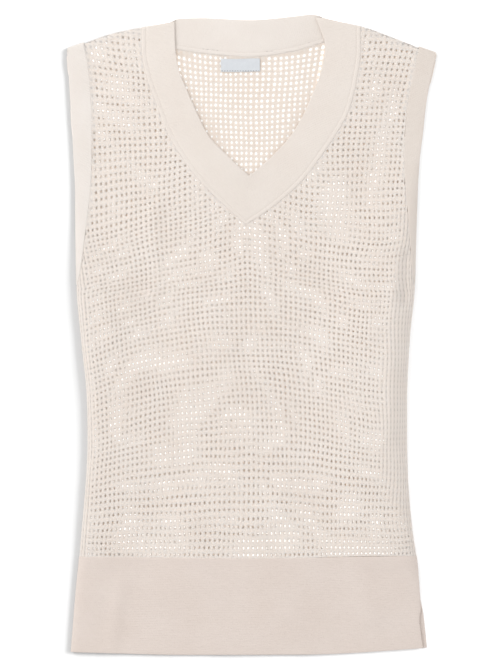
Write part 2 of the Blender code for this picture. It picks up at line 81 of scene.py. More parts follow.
OUTLINE = columns("down left right", [
    (0, -187, 192), (36, -184.5, 186), (56, -183.2, 181.5), (86, -181.5, 175.5), (116, -179.5, 172),
    (146, -178, 168.5), (176, -176.7, 166.5), (236, -176, 164.5), (271, -175.3, 163.7), (326, -170.5, 158.5),
    (386, -164.7, 155.8), (426, -164, 155.8), (456, -165, 156.5), (486, -167.2, 158.2), (516, -169.9, 161.2),
    (546, -172.5, 165.6), (576, -175.5, 168.5), (606, -178, 172.4), (641, -180.8, 175.8),
])
SHOULDER_LEFT = columns("across down", [
    (-186, 37), (-161.5, 27), (-141.5, 20), (-110, 13), (-77, 7),
])
SHOULDER_RIGHT = columns("across down", [
    (70, 3), (98.5, 9.5), (109.5, 12), (148.5, 26), (168.5, 34), (187, 42),
])
HEM_SEAM = columns("across down", [
    (-174, 542), (0, 544), (167, 541),
])
HEM_EDGE = columns("across down", [
    (-181, 638), (-60, 641), (60, 640.5), (176, 634),
])

# Neck band, each row a section from the seam with the body (outer) to the band's free edge (inner)
NECK_LEFT = columns("outer_across outer_down inner_across inner_down", [
    (-110, 13, -77, 7), (-110, 36, -76, 34), (-104.8, 64, -73, 54), (-96.2, 88, -64.5, 76),
    (-84.7, 118, -53.5, 101), (-67.5, 147, -42.5, 122), (-46.5, 173, -25.5, 140), (FRONT_MIDDLE, 211.5, -2.5, 162),
])
NECK_RIGHT = columns("outer_across outer_down inner_across inner_down", [
    (109.5, 12, 64, 3), (109.6, 37, 73.5, 33), (105.6, 66, 68.5, 60), (98, 96, 60, 82), (85, 120, 49.5, 105),
    (69.5, 143, 38, 123), (50.5, 167.5, 23.5, 139), (23.5, 191.5, 10, 151.5), (FRONT_MIDDLE, 211.5, -2.5, 162),
])
NECK_BACK = columns("outer_across outer_down inner_across inner_down", [
    (-110, 13, -77, 7), (-99.5, 27.5, -75.5, 5), (-76.5, 35, -67, 4), (-46.5, 39.5, -45, 3.6),
    (-1.5, 43, -1.5, 5.6), (43.5, 37, 41.5, 2), (73.5, 28, 60, 0), (94, 22, 67, 1.4), (109.5, 12, 70.5, 3.4),
])

# Armhole band, each row a section from its seam with the body to its free edge. The front leaf rolls round the
# side below the chest: its edge goes past the widest line by "edge_reach" of cloth. The back leaf lies flat.
ARMHOLE_LEFT = columns("seam_down edge_down seam_inset edge_reach back_seam back_edge", [
    (30, 36.5, 17.5, 0, 17.5, 0.8),
    (60, 61, 20.5, 0, 20.5, 0.8),
    (86, 86, 21, 0, 21, 0.8),
    (136, 136, 19, 0, 19, 0.8),
    (176, 176, 15.8, 0, 15.8, 0.8),
    (201, 201, 12.8, -0.6, 12.8, 2),
    (226, 226, 9.5, -2, 11.5, 2.8),
    (247, 249, 6.5, -3.2, 10, 2.8),
    (266, 275.5, 2.5, -TUCK_REACH, 5.5, 2.8),
])
ARMHOLE_RIGHT = columns("seam_down edge_down seam_inset edge_reach back_seam back_edge", [
    (34, 41, 19, 0, 19, 0.8),
    (58, 60, 19, 0, 19, 0.8),
    (91, 91, 19, 0, 19, 0.8),
    (136, 136, 17, 0, 17, 0.8),
    (166, 166, 14, 0, 14, 0.8),
    (191, 191, 10.6, -0.6, 11.5, 2),
    (221, 221, 7.2, -2, 10.5, 2.8),
    (245, 248, 4.8, -3.2, 9, 2.8),
    (266, 275.5, 2.5, -TUCK_REACH, 5.5, 2.8),
])

# How each side of the front rolls: height of its widest line and of the roll's top, the roll's radius, how far
# the top takes to settle to the level of the middle, and the reach at which the cloth starts
ROLL_LEFT = columns("down widest top radius settle start", [
    (0, 3.9, 3.9, 4, 40, 0),
    (150, 3.9, 3.9, 4, 40, 0),
    (190, 3.7, 5, 6, 50, 0),
    (230, 3.5, 8.5, 9, 65, -2.2),
    (276, 3.5, 11, 11, 75, -TUCK_REACH),
    (386, 3.6, 12, 12, 85, -TUCK_REACH),
    (500, 3.5, 10.5, 11, 75, -TUCK_REACH),
    (560, 3.2, 7.5, 8, 60, -TUCK_REACH),
    (641, 3, 6, 6, 50, -TUCK_REACH),
])
ROLL_RIGHT = columns("down widest top radius settle start", [
    (0, 3.9, 3.9, 4, 40, 0),
    (120, 3.9, 3.9, 4, 40, 0),
    (176, 3.7, 8, 9, 60, 0),
    (230, 3.6, 14, 15, 75, -2.2),
    (276, 3.6, 17, 18, 85, -TUCK_REACH),
    (386, 3.8, 18, 20, 95, -TUCK_REACH),
    (500, 3.6, 14, 16, 85, -TUCK_REACH),
    (546, 3.5, 10, 12, 70, -TUCK_REACH),
    (562, 3.6, 7.5, 8, 60, 0),
    (590, 3.9, 5, 6, 50, 0),
    (641, 3.9, 4.4, 6, 50, 0),
])
# At the right of the hem the front stops short and the back shows beyond it
HEM_STEP = columns("down front_inset back_inset", [
    (0, 0, BACK_INSET), (566, 0, BACK_INSET), (592, 1.2, 0.6), (608, 4.6, 0), (641, 3.2, 0),
])


# %% Values between a table's rows
def curve(table, by, of, at):
    """The smooth curve of one column over another: cubics whose slopes never overshoot a row."""
    known, value = table[by], table[of]
    step = np.diff(known)
    slope = np.diff(value) / step
    before, after = slope[:-1], slope[1:]
    same_way = before * after > 0
    safe = np.where(same_way, before + after, 1.0)
    inner = np.where(same_way, 2 * before * after / safe, 0.0)
    tangent = np.concatenate([slope[:1], inner, slope[-1:]])
    at = np.clip(at, known[0], known[-1])
    i = np.clip(np.searchsorted(known, at, side="right") - 1, 0, len(step) - 1)
    t = (at - known[i]) / step[i]
    return (
        value[i] * (1 + 2 * t) * (1 - t) ** 2
        + value[i + 1] * (3 - 2 * t) * t**2
        + step[i] * (tangent[i] * t * (1 - t) ** 2 - tangent[i + 1] * (1 - t) * t**2)
    )


def along(table, column, share):
    """A column's smooth value at a share of the way down its rows."""
    rows = np.arange(len(table[column]), dtype=float)
    return curve({"row": rows, "value": table[column]}, "row", "value", share * rows[-1])


SIDES = {
    "left": dict(roll=ROLL_LEFT, neck=NECK_LEFT, armhole=ARMHOLE_LEFT, shoulder=SHOULDER_LEFT, outwards=-1.0),
    "right": dict(roll=ROLL_RIGHT, neck=NECK_RIGHT, armhole=ARMHOLE_RIGHT, shoulder=SHOULDER_RIGHT, outwards=1.0),
}


def front_edge(side, down):
    """Across of the front's widest line."""
    edge = curve(OUTLINE, "down", side, down)
    return edge - curve(HEM_STEP, "down", "front_inset", down) if side == "right" else edge


def shoulder_line(side, across):
    """Down of the shoulder fold."""
    return curve(SIDES[side]["shoulder"], "across", "down", across)


print("widest line at the waist:", front_edge("left", 400.0).round(1), "to", front_edge("right", 400.0).round(1))

# %% [markdown]
# ## The front's face
# Laid flat, a knit body keeps its air at the sides: the front rolls round in a soft quarter of an ellipse before it
# tucks under, and settles towards the middle, where it lies on the back. Folds are low ridges and troughs that
# fall off as a bell from a line; each line has its own width and height, and a slow ripple makes them uneven.

# %% Folds and the face
FOLDS = columns("from_across from_down to_across to_down width height", [
    (-132, 572, -141, 641, 8, 1.3),
    (154, 242, 152, 288, 5, -4.5),
    (141, 262, 138, 420, 8, 2.2),
    (84, 240, 122, 318, 11, 1.8),
    (-99, 196, -96, 280, 8, 1.6),
    (-60, 262, -26, 330, 16, 1.4),
    (-66, 372, 10, 360, 15, 1.5),
    (-92, 432, -60, 505, 14, 1.6),
    (30, 430, 92, 470, 15, 1.7),
    (0, 520, 36, 470, 13, 1.3),
    (-146, 300, -138, 330, 8, 1.2),
    (96, 505, 118, 600, 14, 1.4),
    (-150, 90, -118, 104, 9, 0.7),
    (96, 196, 132, 206, 9, 0.8),
    (-40, 590, -30, 636, 12, 0.6),
    (40, 600, 52, 640, 14, 0.5),
])
WAVES = columns("across down turn height", [  # each a slow ripple: waves per metre both ways, turn and height
    (9, 5, 0.4, 0.22), (-6, 11, 1.9, 0.20), (14, -8, 3.1, 0.14), (4, 17, 5, 0.12),
])


def ripple(across, down):
    """A sum of slow sine waves that run different ways."""
    total = np.zeros(np.broadcast(across, down).shape)
    for per_across, per_down, turn, height in zip(*WAVES.values()):
        total += height * np.sin(2 * np.pi * (per_across * across + per_down * down) * MM + turn)
    return total


def folds(across, down):
    """Each fold's height, falling off as a bell with the distance from its line, uneven along it."""
    total = np.zeros(np.broadcast(across, down).shape)
    for x0, y0, x1, y1, width, height in zip(*FOLDS.values()):
        run_x, run_y = x1 - x0, y1 - y0
        share = np.clip(((across - x0) * run_x + (down - y0) * run_y) / (run_x**2 + run_y**2), 0, 1)
        away = np.hypot(across - x0 - share * run_x, down - y0 - share * run_y)
        uneven = 1 + 0.25 * np.sin(5 * share + x0)
        total += uneven * height * np.exp(-((away / width) ** 2))
    return total


def reach_at(side, inset, down):
    """The cloth's reach, in from the widest line, of a point this far in from it."""
    radius = curve(SIDES[side]["roll"], "down", "radius", down)
    on_roll = radius * np.arccos(1 - np.clip(inset / radius, 0, 1))
    return np.where(inset < radius, on_roll, inset + radius * (np.pi / 2 - 1))


def front_face(side, reach, down):
    """The front's outer face at a reach in from a side, as points (across, down, height).

    Behind the widest line it tucks round to the surface. Ahead of it, it climbs a quarter of an ellipse and then
    settles to the middle's level by a smooth step. Folds are added, and the shoulder edge turns down.
    """
    roll, outwards = SIDES[side]["roll"], SIDES[side]["outwards"]
    widest, top, radius, settle = (
        curve(roll, "down", name, down) for name in ("widest", "top", "radius", "settle")
    )
    tuck = np.clip(-reach / TUCK_REACH, 0, 1) * TUCK_ANGLE
    turn = np.clip(reach / radius, 0, np.pi / 2)
    past = np.clip(reach - radius * np.pi / 2, 0, None)
    inset = np.where(reach < 0, TUCK_RADIUS * (1 - np.cos(tuck)), radius * (1 - np.cos(turn)) + past)
    fall = np.clip(past / settle, 0, 1)
    settled = (1 - fall) ** 2 * (1 + 2 * fall)
    height = np.where(past > 0, FRONT_LEVEL + (top - FRONT_LEVEL) * settled, widest + (top - widest) * np.sin(turn))
    tucked = widest - (widest - TUCK_CLEAR) * np.sin(tuck) / np.sin(TUCK_ANGLE)
    height = np.where(reach < 0, tucked, height)
    across = front_edge(side, down) - outwards * inset
    soft = folds(across, down) + np.clip(ripple(across, down), -0.4, 1)
    height = height + soft * np.clip(reach / FOLD_FADE, 0, 1)
    near = np.clip(1 - (down - shoulder_line(side, across)) / SHOULDER_CURL, 0, 1)
    height = height - (height - SHOULDER_EDGE) * (1 - np.sqrt(1 - near**2)) * (near > 0)
    return np.stack([across, down + 0 * across, height], axis=-1)


middle = front_face("right", np.array([0.0, 20.0, 60.0, 160.0]), np.full(4, 386.0))
print("face heights in from the right side at the waist:", middle[:, 2].round(1))

# %% [markdown]
# ## Yarn
# The vest is one cream cotton yarn. Its colour wanders a little from place to place, as dye takes unevenly, and it
# is quite matt, with a soft sheen from loose fibres. The stitches are too small to model one by one on the plain
# bands, so a bump pattern on each piece's own cloth coordinates carries them. Shader maths is easier to read as
# sums than as boxes and wires, so a small class turns each sum into the nodes.

# %% Shader maths
def math_node(operation, reflected=False):
    """A method that adds one Math node. A reflected one takes the other value first."""
    def method(self, other=None):
        values = [self] if other is None else [other, self] if reflected else [self, other]
        return self.finish.node("ShaderNodeMath", {"operation": operation}, dict(enumerate(values)))
    return method


class Value:
    """A number that varies over a surface. Arithmetic on it adds Math nodes."""

    def __init__(self, finish, socket):
        self.finish, self.socket = finish, socket

    __add__, __radd__ = math_node("ADD"), math_node("ADD", True)
    __sub__, __rsub__ = math_node("SUBTRACT"), math_node("SUBTRACT", True)
    __mul__, __rmul__ = math_node("MULTIPLY"), math_node("MULTIPLY", True)
    __pow__, highest = math_node("POWER"), math_node("MAXIMUM")
    sine, size = math_node("SINE"), math_node("ABSOLUTE")


class Finish:
    """A material and its nodes."""

    def __init__(self, name):
        self.material = bpy.data.materials.new(name)
        self.material.use_nodes = True
        self.tree = self.material.node_tree
        self.shader = self.tree.nodes["Principled BSDF"]

    def node(self, kind, settings=None, sockets=None, output=0):
        """A node of a kind, with its settings first and then its sockets' values or links."""
        node = self.tree.nodes.new(kind)
        for name, value in (settings or {}).items():
            setattr(node, name, value)
        for name, value in (sockets or {}).items():
            self.set(node.inputs[name], value)
        return Value(self, node.outputs[output])

    def set(self, socket, value):
        if isinstance(value, Value):
            self.tree.links.new(value.socket, socket)
        else:
            socket.default_value = value

    def place(self, kind):
        """The two directions of the cloth's own UV map, or the object's three."""
        if kind == "cloth":
            vector = self.node("ShaderNodeUVMap", {"uv_map": "cloth"})
        else:
            vector = self.node("ShaderNodeTexCoord", output=3)
        axes = self.tree.nodes.new("ShaderNodeSeparateXYZ")
        self.set(axes.inputs[0], vector)
        return vector, [Value(self, out) for out in axes.outputs]

    def noise(self, vector, scale, detail=2.0):
        """Cloudy noise, from about 0.3 to 0.7."""
        return self.node("ShaderNodeTexNoise", None, {"Vector": vector, "Scale": scale, "Detail": detail})

    def fade(self, past, width):
        """1 where a distance in metres is below zero, 0 where it is above, and smooth within a width of zero."""
        return self.node("ShaderNodeMapRange", {"interpolation_type": "SMOOTHSTEP"}, {
            "Value": past, "From Min": -width, "From Max": width, "To Min": 1.0, "To Max": 0.0})

    def mix(self, share, first, second):
        """A colour between two, by share."""
        mixed = self.node("ShaderNodeMix", {"data_type": "RGBA"}, {0: share}, output=2)
        node = mixed.socket.node
        self.set(node.inputs[6], first if isinstance(first, Value) else (*first, 1.0))
        self.set(node.inputs[7], second if isinstance(second, Value) else (*second, 1.0))
        return mixed

    def bump(self, height, distance, strength):
        """Stands height out by distance, in metres."""
        normal = self.node("ShaderNodeBump", None, {"Height": height, "Distance": distance, "Strength": strength})
        self.set(self.shader.inputs["Normal"], normal)

    def surface(self, colour, roughness, sheen=0.0, soft=0.0):
        self.set(self.shader.inputs["Base Color"], colour)
        self.set(self.shader.inputs["Roughness"], roughness)
        self.shader.inputs["Sheen Weight"].default_value = sheen
        self.shader.inputs["Sheen Roughness"].default_value = 0.5
        self.shader.inputs["Specular IOR Level"].default_value = 0.25
        self.shader.inputs["Subsurface Weight"].default_value = soft
        self.shader.inputs["Subsurface Radius"].default_value = (1.0, 0.93, 0.87)
        self.shader.inputs["Subsurface Scale"].default_value = 0.0018
        return self.material


# %% Cream yarn, as a net and as a plain band
YARN_WARM = (0.816, 0.731, 0.662)
YARN_PALE = (0.859, 0.784, 0.721)
PAINTED_SHADE_TONE = (0.46, 0.39, 0.34)  # painted shade: in the dip where two ribs meet, and in the open neck
NECK_SHADE = 0.22  # share of painted shade in the open neck, against the table's glow through the strands there
FIBRE = 900.0  # clouds of fibre to a metre


def yarn_colour(finish, spot, lift, tone):
    """Cream that drifts from warm to pale in clouds a few centimetres wide, with fine flecks on it. Tone scales it
    for each piece; on the armhole bands it is painted light on the left one and painted shade on the right one."""
    drift = finish.noise(spot, 22.0, 2.0)
    fleck = finish.noise(spot, FIBRE, 1.0)
    share = (drift - 0.5) * 1.6 + (fleck - 0.5) * 0.5 + (0.5 + lift)
    warm, pale = (tuple(a * b for a, b in zip(yarn, tone)) for yarn in (YARN_WARM, YARN_PALE))
    return finish.mix(share, warm, pale)


# The open neck in metres: its middle and its point, how soon its sides steepen, and how soft its edge is
NECK_MIDDLE, NECK_POINT, NECK_STEEPER, NECK_SOFT = 0.0027, 0.153, 13.2, 0.004


def outside_neck(finish, x, y):
    """1 below the V and 0 where the neck is open: its edge climbs by the distance from the middle, and faster
    towards the shoulders."""
    from_middle = (x + NECK_MIDDLE).size()
    climb = from_middle * ((from_middle * NECK_STEEPER) ** 5.0 + 1.0)
    return finish.fade(y - NECK_POINT - climb, NECK_SOFT)


def net_finish(name, tone, soft):
    """Strands of the net: twisted plies across each strand, and loose fibre. Where the cloth is ribbed, the dip
    between two ribs is painted darker: painted shade. The net in the open neck has painted shade too: the table's
    glow shines through the strands there, and the painted shade makes up for it. The real yarn is the same all over."""
    finish = Finish(name)
    spot, (x, y, _) = finish.place("object")
    _, (column, row, _) = finish.place("cloth")
    ply = (row * (3 * 2 * np.pi) + (column * (2 * np.pi)).sine() * 1.4).sine()
    fuzz = finish.noise(spot, FIBRE * 1.5, 2.0)
    finish.bump(ply * 0.35 + fuzz, 0.0003, 0.45)
    ribbed = finish.node("ShaderNodeAttribute", {"attribute_name": "ribbed"}, output=2)
    # painted shade: darker in the dip between two ribs, and over the open neck
    between = (column * np.pi).sine().size() ** 6.0 * ((row * (2 * np.pi)).sine() * -0.3 + 0.7)
    dark = between * ribbed * 0.6 + (1 - outside_neck(finish, x, y)) * NECK_SHADE
    colour = finish.mix(dark, yarn_colour(finish, spot, 0.0, tone), PAINTED_SHADE_TONE)
    return finish.surface(colour, 0.88, 0.15, soft)


def band_finish(name, linked=False, tone=(1.0, 1.0, 1.0)):
    """Plain fine knit: columns of small V stitches, with painted shade where the yarn dips between them, and more
    painted shade in the two grooves of a linked join."""
    finish = Finish(name)
    spot, _ = finish.place("object")
    _, (around, over, _) = finish.place("cloth")
    rib = (around * (2 * np.pi / 2.2)).sine()
    vee = (over * (2 * np.pi / 1.7) + rib.size() * 1.8).sine()
    fuzz = finish.noise(spot, FIBRE, 2.0)
    height = rib.size() * 0.5 + vee * 0.3 + fuzz * 0.8
    finish.bump(height, 0.0005, 0.7)
    # painted shade: a darker stripe along the dips between stitch columns
    colour = finish.mix(rib.size() * 0.12, yarn_colour(finish, spot, 0.1, tone), (0.70, 0.62, 0.56))
    if linked:
        # painted shade in the two grooves of the linked join
        dip = ((around - 0.45).size() * -2.2 + 1.0).highest((around - SEAM_STRIP).size() * -1.8 + 1.0).highest(0.0)
        tick = (over * (2 * np.pi / 2.1)).sine() * 0.25 + 0.75
        colour = finish.mix(dip * tick * 0.17, colour, (0.50, 0.41, 0.34))
    return finish.surface(colour, 0.9, 0.15)


def label_finish():
    """Woven satin tape: fine threads across, cool grey white."""
    finish = Finish("label satin")
    spot, _ = finish.place("object")
    _, (_, over, _) = finish.place("cloth")
    weft = (over * (2 * np.pi / 0.35)).sine()
    cloud = finish.noise(spot, 300.0, 2.0)
    finish.bump(weft * 0.5 + cloud * 0.4, 0.0001, 0.6)
    colour = finish.mix(cloud, (0.63, 0.65, 0.68), (0.72, 0.74, 0.765))
    return finish.surface(colour, 0.55)


def thread_finish():
    """Dark sewing thread, twisted."""
    finish = Finish("label thread")
    spot, _ = finish.place("object")
    _, (along_thread, over, _) = finish.place("cloth")
    twist = (along_thread * 9.0 + over * 3.0).sine()
    finish.bump(twist, 0.0001, 0.6)
    colour = finish.mix(finish.noise(spot, 2000.0), (0.03, 0.03, 0.035), (0.07, 0.07, 0.08))
    return finish.surface(colour, 0.7)


SEAM_STRIP = 4.6  # between the two grooves of the linked join
net_yarn = net_finish("net yarn", (0.95, 0.94, 0.94), 0.55)
back_net_yarn = net_finish("back net yarn", (0.95, 0.95, 0.95), 0.7)
linked_yarn = band_finish("linked band yarn", True)
nape_yarn = band_finish("back neck band yarn", True, (1.04, 1.05, 1.06))
# Painted light and shade: one yarn, lighter on the left armhole band and darker on the right one, as light falls
arm_yarn_lit_and_shaded = {
    "left": band_finish("left armhole band painted-light yarn", tone=(1.0, 1.02, 1.04)),
    "right": band_finish("right armhole band painted-shade yarn", tone=(0.93, 0.92, 0.91)),
}
hem_yarn = band_finish("hem band yarn", tone=(0.92, 0.88, 0.873))
label_satin, label_thread = label_finish(), thread_finish()
print("finishes made:", len([m for m in bpy.data.materials if m.name.endswith(("yarn", "satin", "thread"))]))

# %% [markdown]
# ## Where each stitch of the net lies
# A knitted net is counted in columns and rows of holes. The cloth's own columns run from hem to shoulder, and its
# rows hang in an arch: they droop towards the sides, most at the waist, and meet in a shallow V below the neck.
# So a place on the cloth is (column, row), and these tables say where it lies on the vest. Holes then come out
# narrower at the sides, where the cloth is pushed together, as on the real one.

# %% Columns and rows of the front
HALF_COLUMNS = columns("down left right", [  # holes from the middle to the side seam
    (0, 30.5, 30.5), (136, 31, 31.2), (176, 31.6, 32.4), (221, 33.2, 34.2), (247, 35.2, 36.2), (266, 37.2, 37.4),
    (278.5, 40, 40), (641, 40, 40),
])
TIGHTER = columns("down left right", [  # how much closer the columns stand at the side than in the middle
    (60, -0.02, 0.04), (190, 0, 0.08), (300, 0.07, 0.12), (430, 0.06, 0.13), (545, 0.07, 0.07),
])
MIDDLE_LINE = columns("down across", [
    (0, -4.5), (200, -4.5), (300, -3), (430, 5), (545, 4),
])
FRONT_ROWS = columns("row down left right chevron", [  # a row's middle, its droop at the sides, and how V-like it is
    (0, 544.6, -2.2, -3.2, 0),
    (4.3, 514, 5, 3, 0),
    (9, 476, 14, 8, 0),
    (14.1, 436, 26, 15, 0),
    (20.3, 396, 34, 20, 0),
    (26.9, 356, 37, 22, 0),
    (33.9, 316, 38, 22, 0.1),
    (40.8, 276, 40, 22, 0.4),
    (47.8, 236, 43, 25, 0.8),
    (53, 203, 45, 24, 1),
    (57.2, 183, 43, 16, 1),
    (60.3, 166.7, 38, 10, 1),
    (63.1, 154.4, 28, 3, 1),
    (68.9, 129, 9, -7, 1),
    (74.6, 96, 0, -10, 1),
    (79.8, 74.9, -18, -22, 1),
    (85.2, 43, -22, -25, 1),
    (94, -5, -24, -28, 1),
])
WANDER = columns("across down turn amount", [  # stitches stray a little from their lines, in slow waves
    (7, 9, 0.7, 0.55), (-12, 6, 2.2, 0.45), (5, -16, 4.1, 0.40), (17, 11, 5.6, 0.25),
])


def wander(across, down, turn):
    """Millimetres that a stitch strays by: a sum of slow waves, turned for each direction."""
    total = np.zeros(np.broadcast(across, down).shape)
    for per_across, per_down, start, amount in zip(*WANDER.values()):
        total += amount * np.sin(2 * np.pi * (per_across * across + per_down * down) * MM + start + turn)
    return total


HOLD = 0.6  # how softly a border takes hold
FOLD_WRAP = 2.2  # the net hangs this far down over the shoulder fold
ROUNDS = 5  # a place's row and its column's width depend on each other, and agree after a few rounds


def held(past):
    """A distance past a border, held just inside it: itself far inside, and a sliver above zero far outside."""
    return (past + np.sqrt(past**2 + HOLD**2)) / 2


def looseness(share, row):
    """How free a stitch is to stray: 1 in the middle of the cloth, 0 at its side seam and at the hem."""
    return np.clip((1 - share) * 5, 0, 1) * np.clip(row / 4, 0, 1)


def seam_start(side, down):
    """Reach of the front net's side: the armhole seam, and below its foot the tucked edge."""
    inset = curve(SIDES[side]["armhole"], "seam_down", "seam_inset", down)
    to_tuck = np.clip((down - ARMHOLE_FOOT) / FOOT_BLEND, 0, 1)
    return reach_at(side, inset, down) * (1 - to_tuck) - TUCK_REACH * to_tuck


def arch(side, share, chevron):
    """A row's droop from the middle (0) to the side (1): a parabola or a straight fall at the left, sines at the
    right, where the row turns up again at the rolled side."""
    if side == "left":
        return (1 - chevron) * share**2 + chevron * share
    low = np.sin(np.pi * share / 1.7) ** 2
    return (1 - chevron) * low + chevron * np.sin(np.pi * share / 1.5)


def half_front(side, count, row, clear):
    """Points of one half of the front, for holes counted out from the middle and rows up from the hem."""
    outwards = SIDES[side]["outwards"]
    level, droop, chevron = (curve(FRONT_ROWS, "row", name, row) for name in ("down", side, "chevron"))
    down = level
    for _ in range(ROUNDS):
        share = count / curve(HALF_COLUMNS, "down", side, down)
        down = level + droop * arch(side, share, chevron)
    tighter = curve(TIGHTER, "down", side, down)
    cloth = share * (1 + tighter) - tighter * share**3
    start = seam_start(side, down)
    inner = reach_at(side, outwards * (front_edge(side, down) - curve(MIDDLE_LINE, "down", "across", down)), down)
    reach = inner + (start - inner) * cloth
    loose = looseness(share, row)
    down = down + loose * wander(reach, down, 0.0)
    reach = reach + loose * np.clip(count / 5, 0, 1) * wander(reach, down, 2.5)
    border = start - NET_UNDER_ARM + clear
    reach = border + held(reach - border)
    fold = shoulder_line(side, front_face(side, reach, down)[..., 0]) + clear
    inside = held(down - fold)
    points = front_face(side, reach, fold + inside)
    at_fold = inside < 2 * SHOULDER_CURL
    points[at_fold, 2] = np.maximum(points[at_fold, 2], FRONT_LEVEL)
    points[..., 2] -= np.minimum(fold + inside - down, FOLD_WRAP)
    return points


def front_cloth(column, row, clear=0.0):
    """Points of the whole front: left of the middle for columns below zero, right of it above."""
    clear = clear + 0 * column
    points = np.empty(column.shape + (3,))
    for side, mine in (("left", column < 0), ("right", column >= 0)):
        points[mine] = half_front(side, np.abs(column[mine]), row[mine], clear[mine])
    return points


spots = front_cloth(np.array([-30.0, 0.0, 30.0]), np.array([30.0, 30.0, 30.0]))
print("row 30 lies at down", spots[:, 1].round(1), "for columns -30, 0 and 30")

# %% Columns and rows of the back
BACK_HALF = columns("down left right", [
    (0, 31.5, 28.5), (176, 32, 30.5), (221, 33, 32.5), (266, 36, 36), (641, 37, 36.5),
])
BACK_ROWS = columns("row down left right", [
    (0, 544.6, -2.2, -3.2), (8, 488, 8, 8), (17, 430, 18, 16), (27, 366, 22, 18), (37, 302, 20, 16),
    (46, 243, 12, 8), (55, 186, 0, -4), (63, 142, -10, -14), (71.5, 97, -14, -18), (78, 63, -30, -30),
    (82, 42, -40, -36), (96, -32, -40, -36),
])


def back_side(side, down):
    """Across of the back net's side: at the armhole band's back seam, and below it behind the rolled front."""
    inset = curve(SIDES[side]["armhole"], "seam_down", "back_seam", down)
    below = np.full(np.shape(down), BACK_INSET)
    if side == "right":
        below = curve(HEM_STEP, "down", "back_inset", down)
    blend = np.clip((down - ARMHOLE_FOOT) / FOOT_BLEND, 0, 1)
    return curve(OUTLINE, "down", side, down) - SIDES[side]["outwards"] * (inset * (1 - blend) + below * blend)


def back_cloth(column, row, clear=0.0):
    """Points of the back: flat on the surface, rows a shallow arch that turns into a sag below the neck."""
    clear = clear + 0 * column
    points = np.empty(column.shape + (3,))
    for side, mine in (("left", column < 0), ("right", column >= 0)):
        outwards, count, up = SIDES[side]["outwards"], np.abs(column[mine]), row[mine]
        level, droop = curve(BACK_ROWS, "row", "down", up), curve(BACK_ROWS, "row", side, up)
        down = level
        for _ in range(ROUNDS):
            share = count / curve(BACK_HALF, "down", side, down)
            down = level + droop * share**2
        middle, edge = curve(MIDDLE_LINE, "down", "across", down), back_side(side, down)
        across = middle + (edge - middle) * share
        loose = looseness(share, up)
        stray = 0.7 + 0.9 * np.clip((down - 190.0) / 60.0, 0, 1)  # more below the neck, where nothing holds it
        down = down + stray * loose * wander(-across, down, 1.1)
        across = across + loose * (1.3 + stray * wander(across, -down, 3.7))
        limit = edge + outwards * (NET_UNDER_ARM - clear[mine])
        across = limit - outwards * held(outwards * (limit - across))
        fold = shoulder_line(side, across) + clear[mine]
        down = fold + held(down - fold)
        points[mine] = np.stack([across, down, np.full(across.shape, NET_WALL)], axis=-1)
    return points


spots = back_cloth(np.array([-8.0, 0.0, 8.0]), np.array([75.0, 75.0, 75.0]))
print("back row 75 lies at down", spots[:, 1].round(1))

# %% [markdown]
# ## The net itself
# Each hole is a cell of the cloth: a ring of eight points on the hole's rim, inside a ring of eight on the lines
# between holes. The cloth is thickest on those lines and thins to nothing at the rim, so light rounds every strand
# as it rounds yarn. Columns stand a little higher than rows, which makes the fine upright ribs of such a knit.
# Cells share their outer points, so the whole net is one closed surface of 16 small faces a hole.

# %% Making a net
RING = np.array([(1, 0), (1, 1), (0, 1), (-1, 1), (-1, 0), (-1, -1), (0, -1), (1, -1)])
ROUND = np.array([(np.cos(a), np.sin(a)) for a in np.radians(np.arange(0, 360, 45))])
PINPRICK = 0.04  # of a cell, where the stitches are close
SHOULDER_PLAIN = 6.5  # close stitches next to the shoulder fold
BAND_PLAIN = 2.0  # and next to a band
SIDE_PLAIN = columns("down left right", [  # and in from the widest line, where the cloth is pushed into ribs
    (150, 0, 0), (190, 0, 15), (236, 10.5, 17), (286, 8.5, 22), (326, 7, 25), (386, 6, 26), (466, 5.5, 25),
    (488, 6, 17), (505, 6, 7), (541, 8, 5),
])
GROOVE = 0.35  # how deep the dip between two ribs is
BELOW_V = NECK_LEFT["outer_down"][-1] + 2.0
KNOT, COLUMN, ROW, DIP = 0.5, 0.47, 0.34, 0.12  # half thickness of a strand where it crosses, and along it, in walls
SIZE_SPREAD, LEAN_SPREAD = 0.05, 0.025  # how unlike the holes are, in size and in place
RIM_CLEAR = 1.1  # a hole's rim keeps this far inside the net's border
NUDGE = 0.03  # of a cell: the step that finds the cloth's direction
EDGE_ROOM = 0.4  # a cell may lie this much past the net's side or over the shoulder


def metres(points):
    """(across, down, height) in millimetres as x, y, z in metres."""
    return np.stack([points[..., 0] - BOX_MIDDLE[0], BOX_MIDDLE[1] - points[..., 1], points[..., 2]], axis=-1) * MM


def unit(vectors):
    """Vectors at length one; one too short to have a direction points up and back."""
    length = np.linalg.norm(vectors, axis=-1, keepdims=True)
    return np.where(length > 1e-12, vectors / np.maximum(length, 1e-12), [0.0, 0.6, 0.8])


def facing(cloth, column, row, clear):
    """The cloth's outer face and its outward direction there, from small steps along it both ways."""
    here = metres(cloth(column, row, clear))
    over = metres(cloth(column + NUDGE, row, clear)) - metres(cloth(column - NUDGE, row, clear))
    up = metres(cloth(column, row + NUDGE, clear)) - metres(cloth(column, row - NUDGE, clear))
    return here, unit(np.cross(over, up) * 1e6)


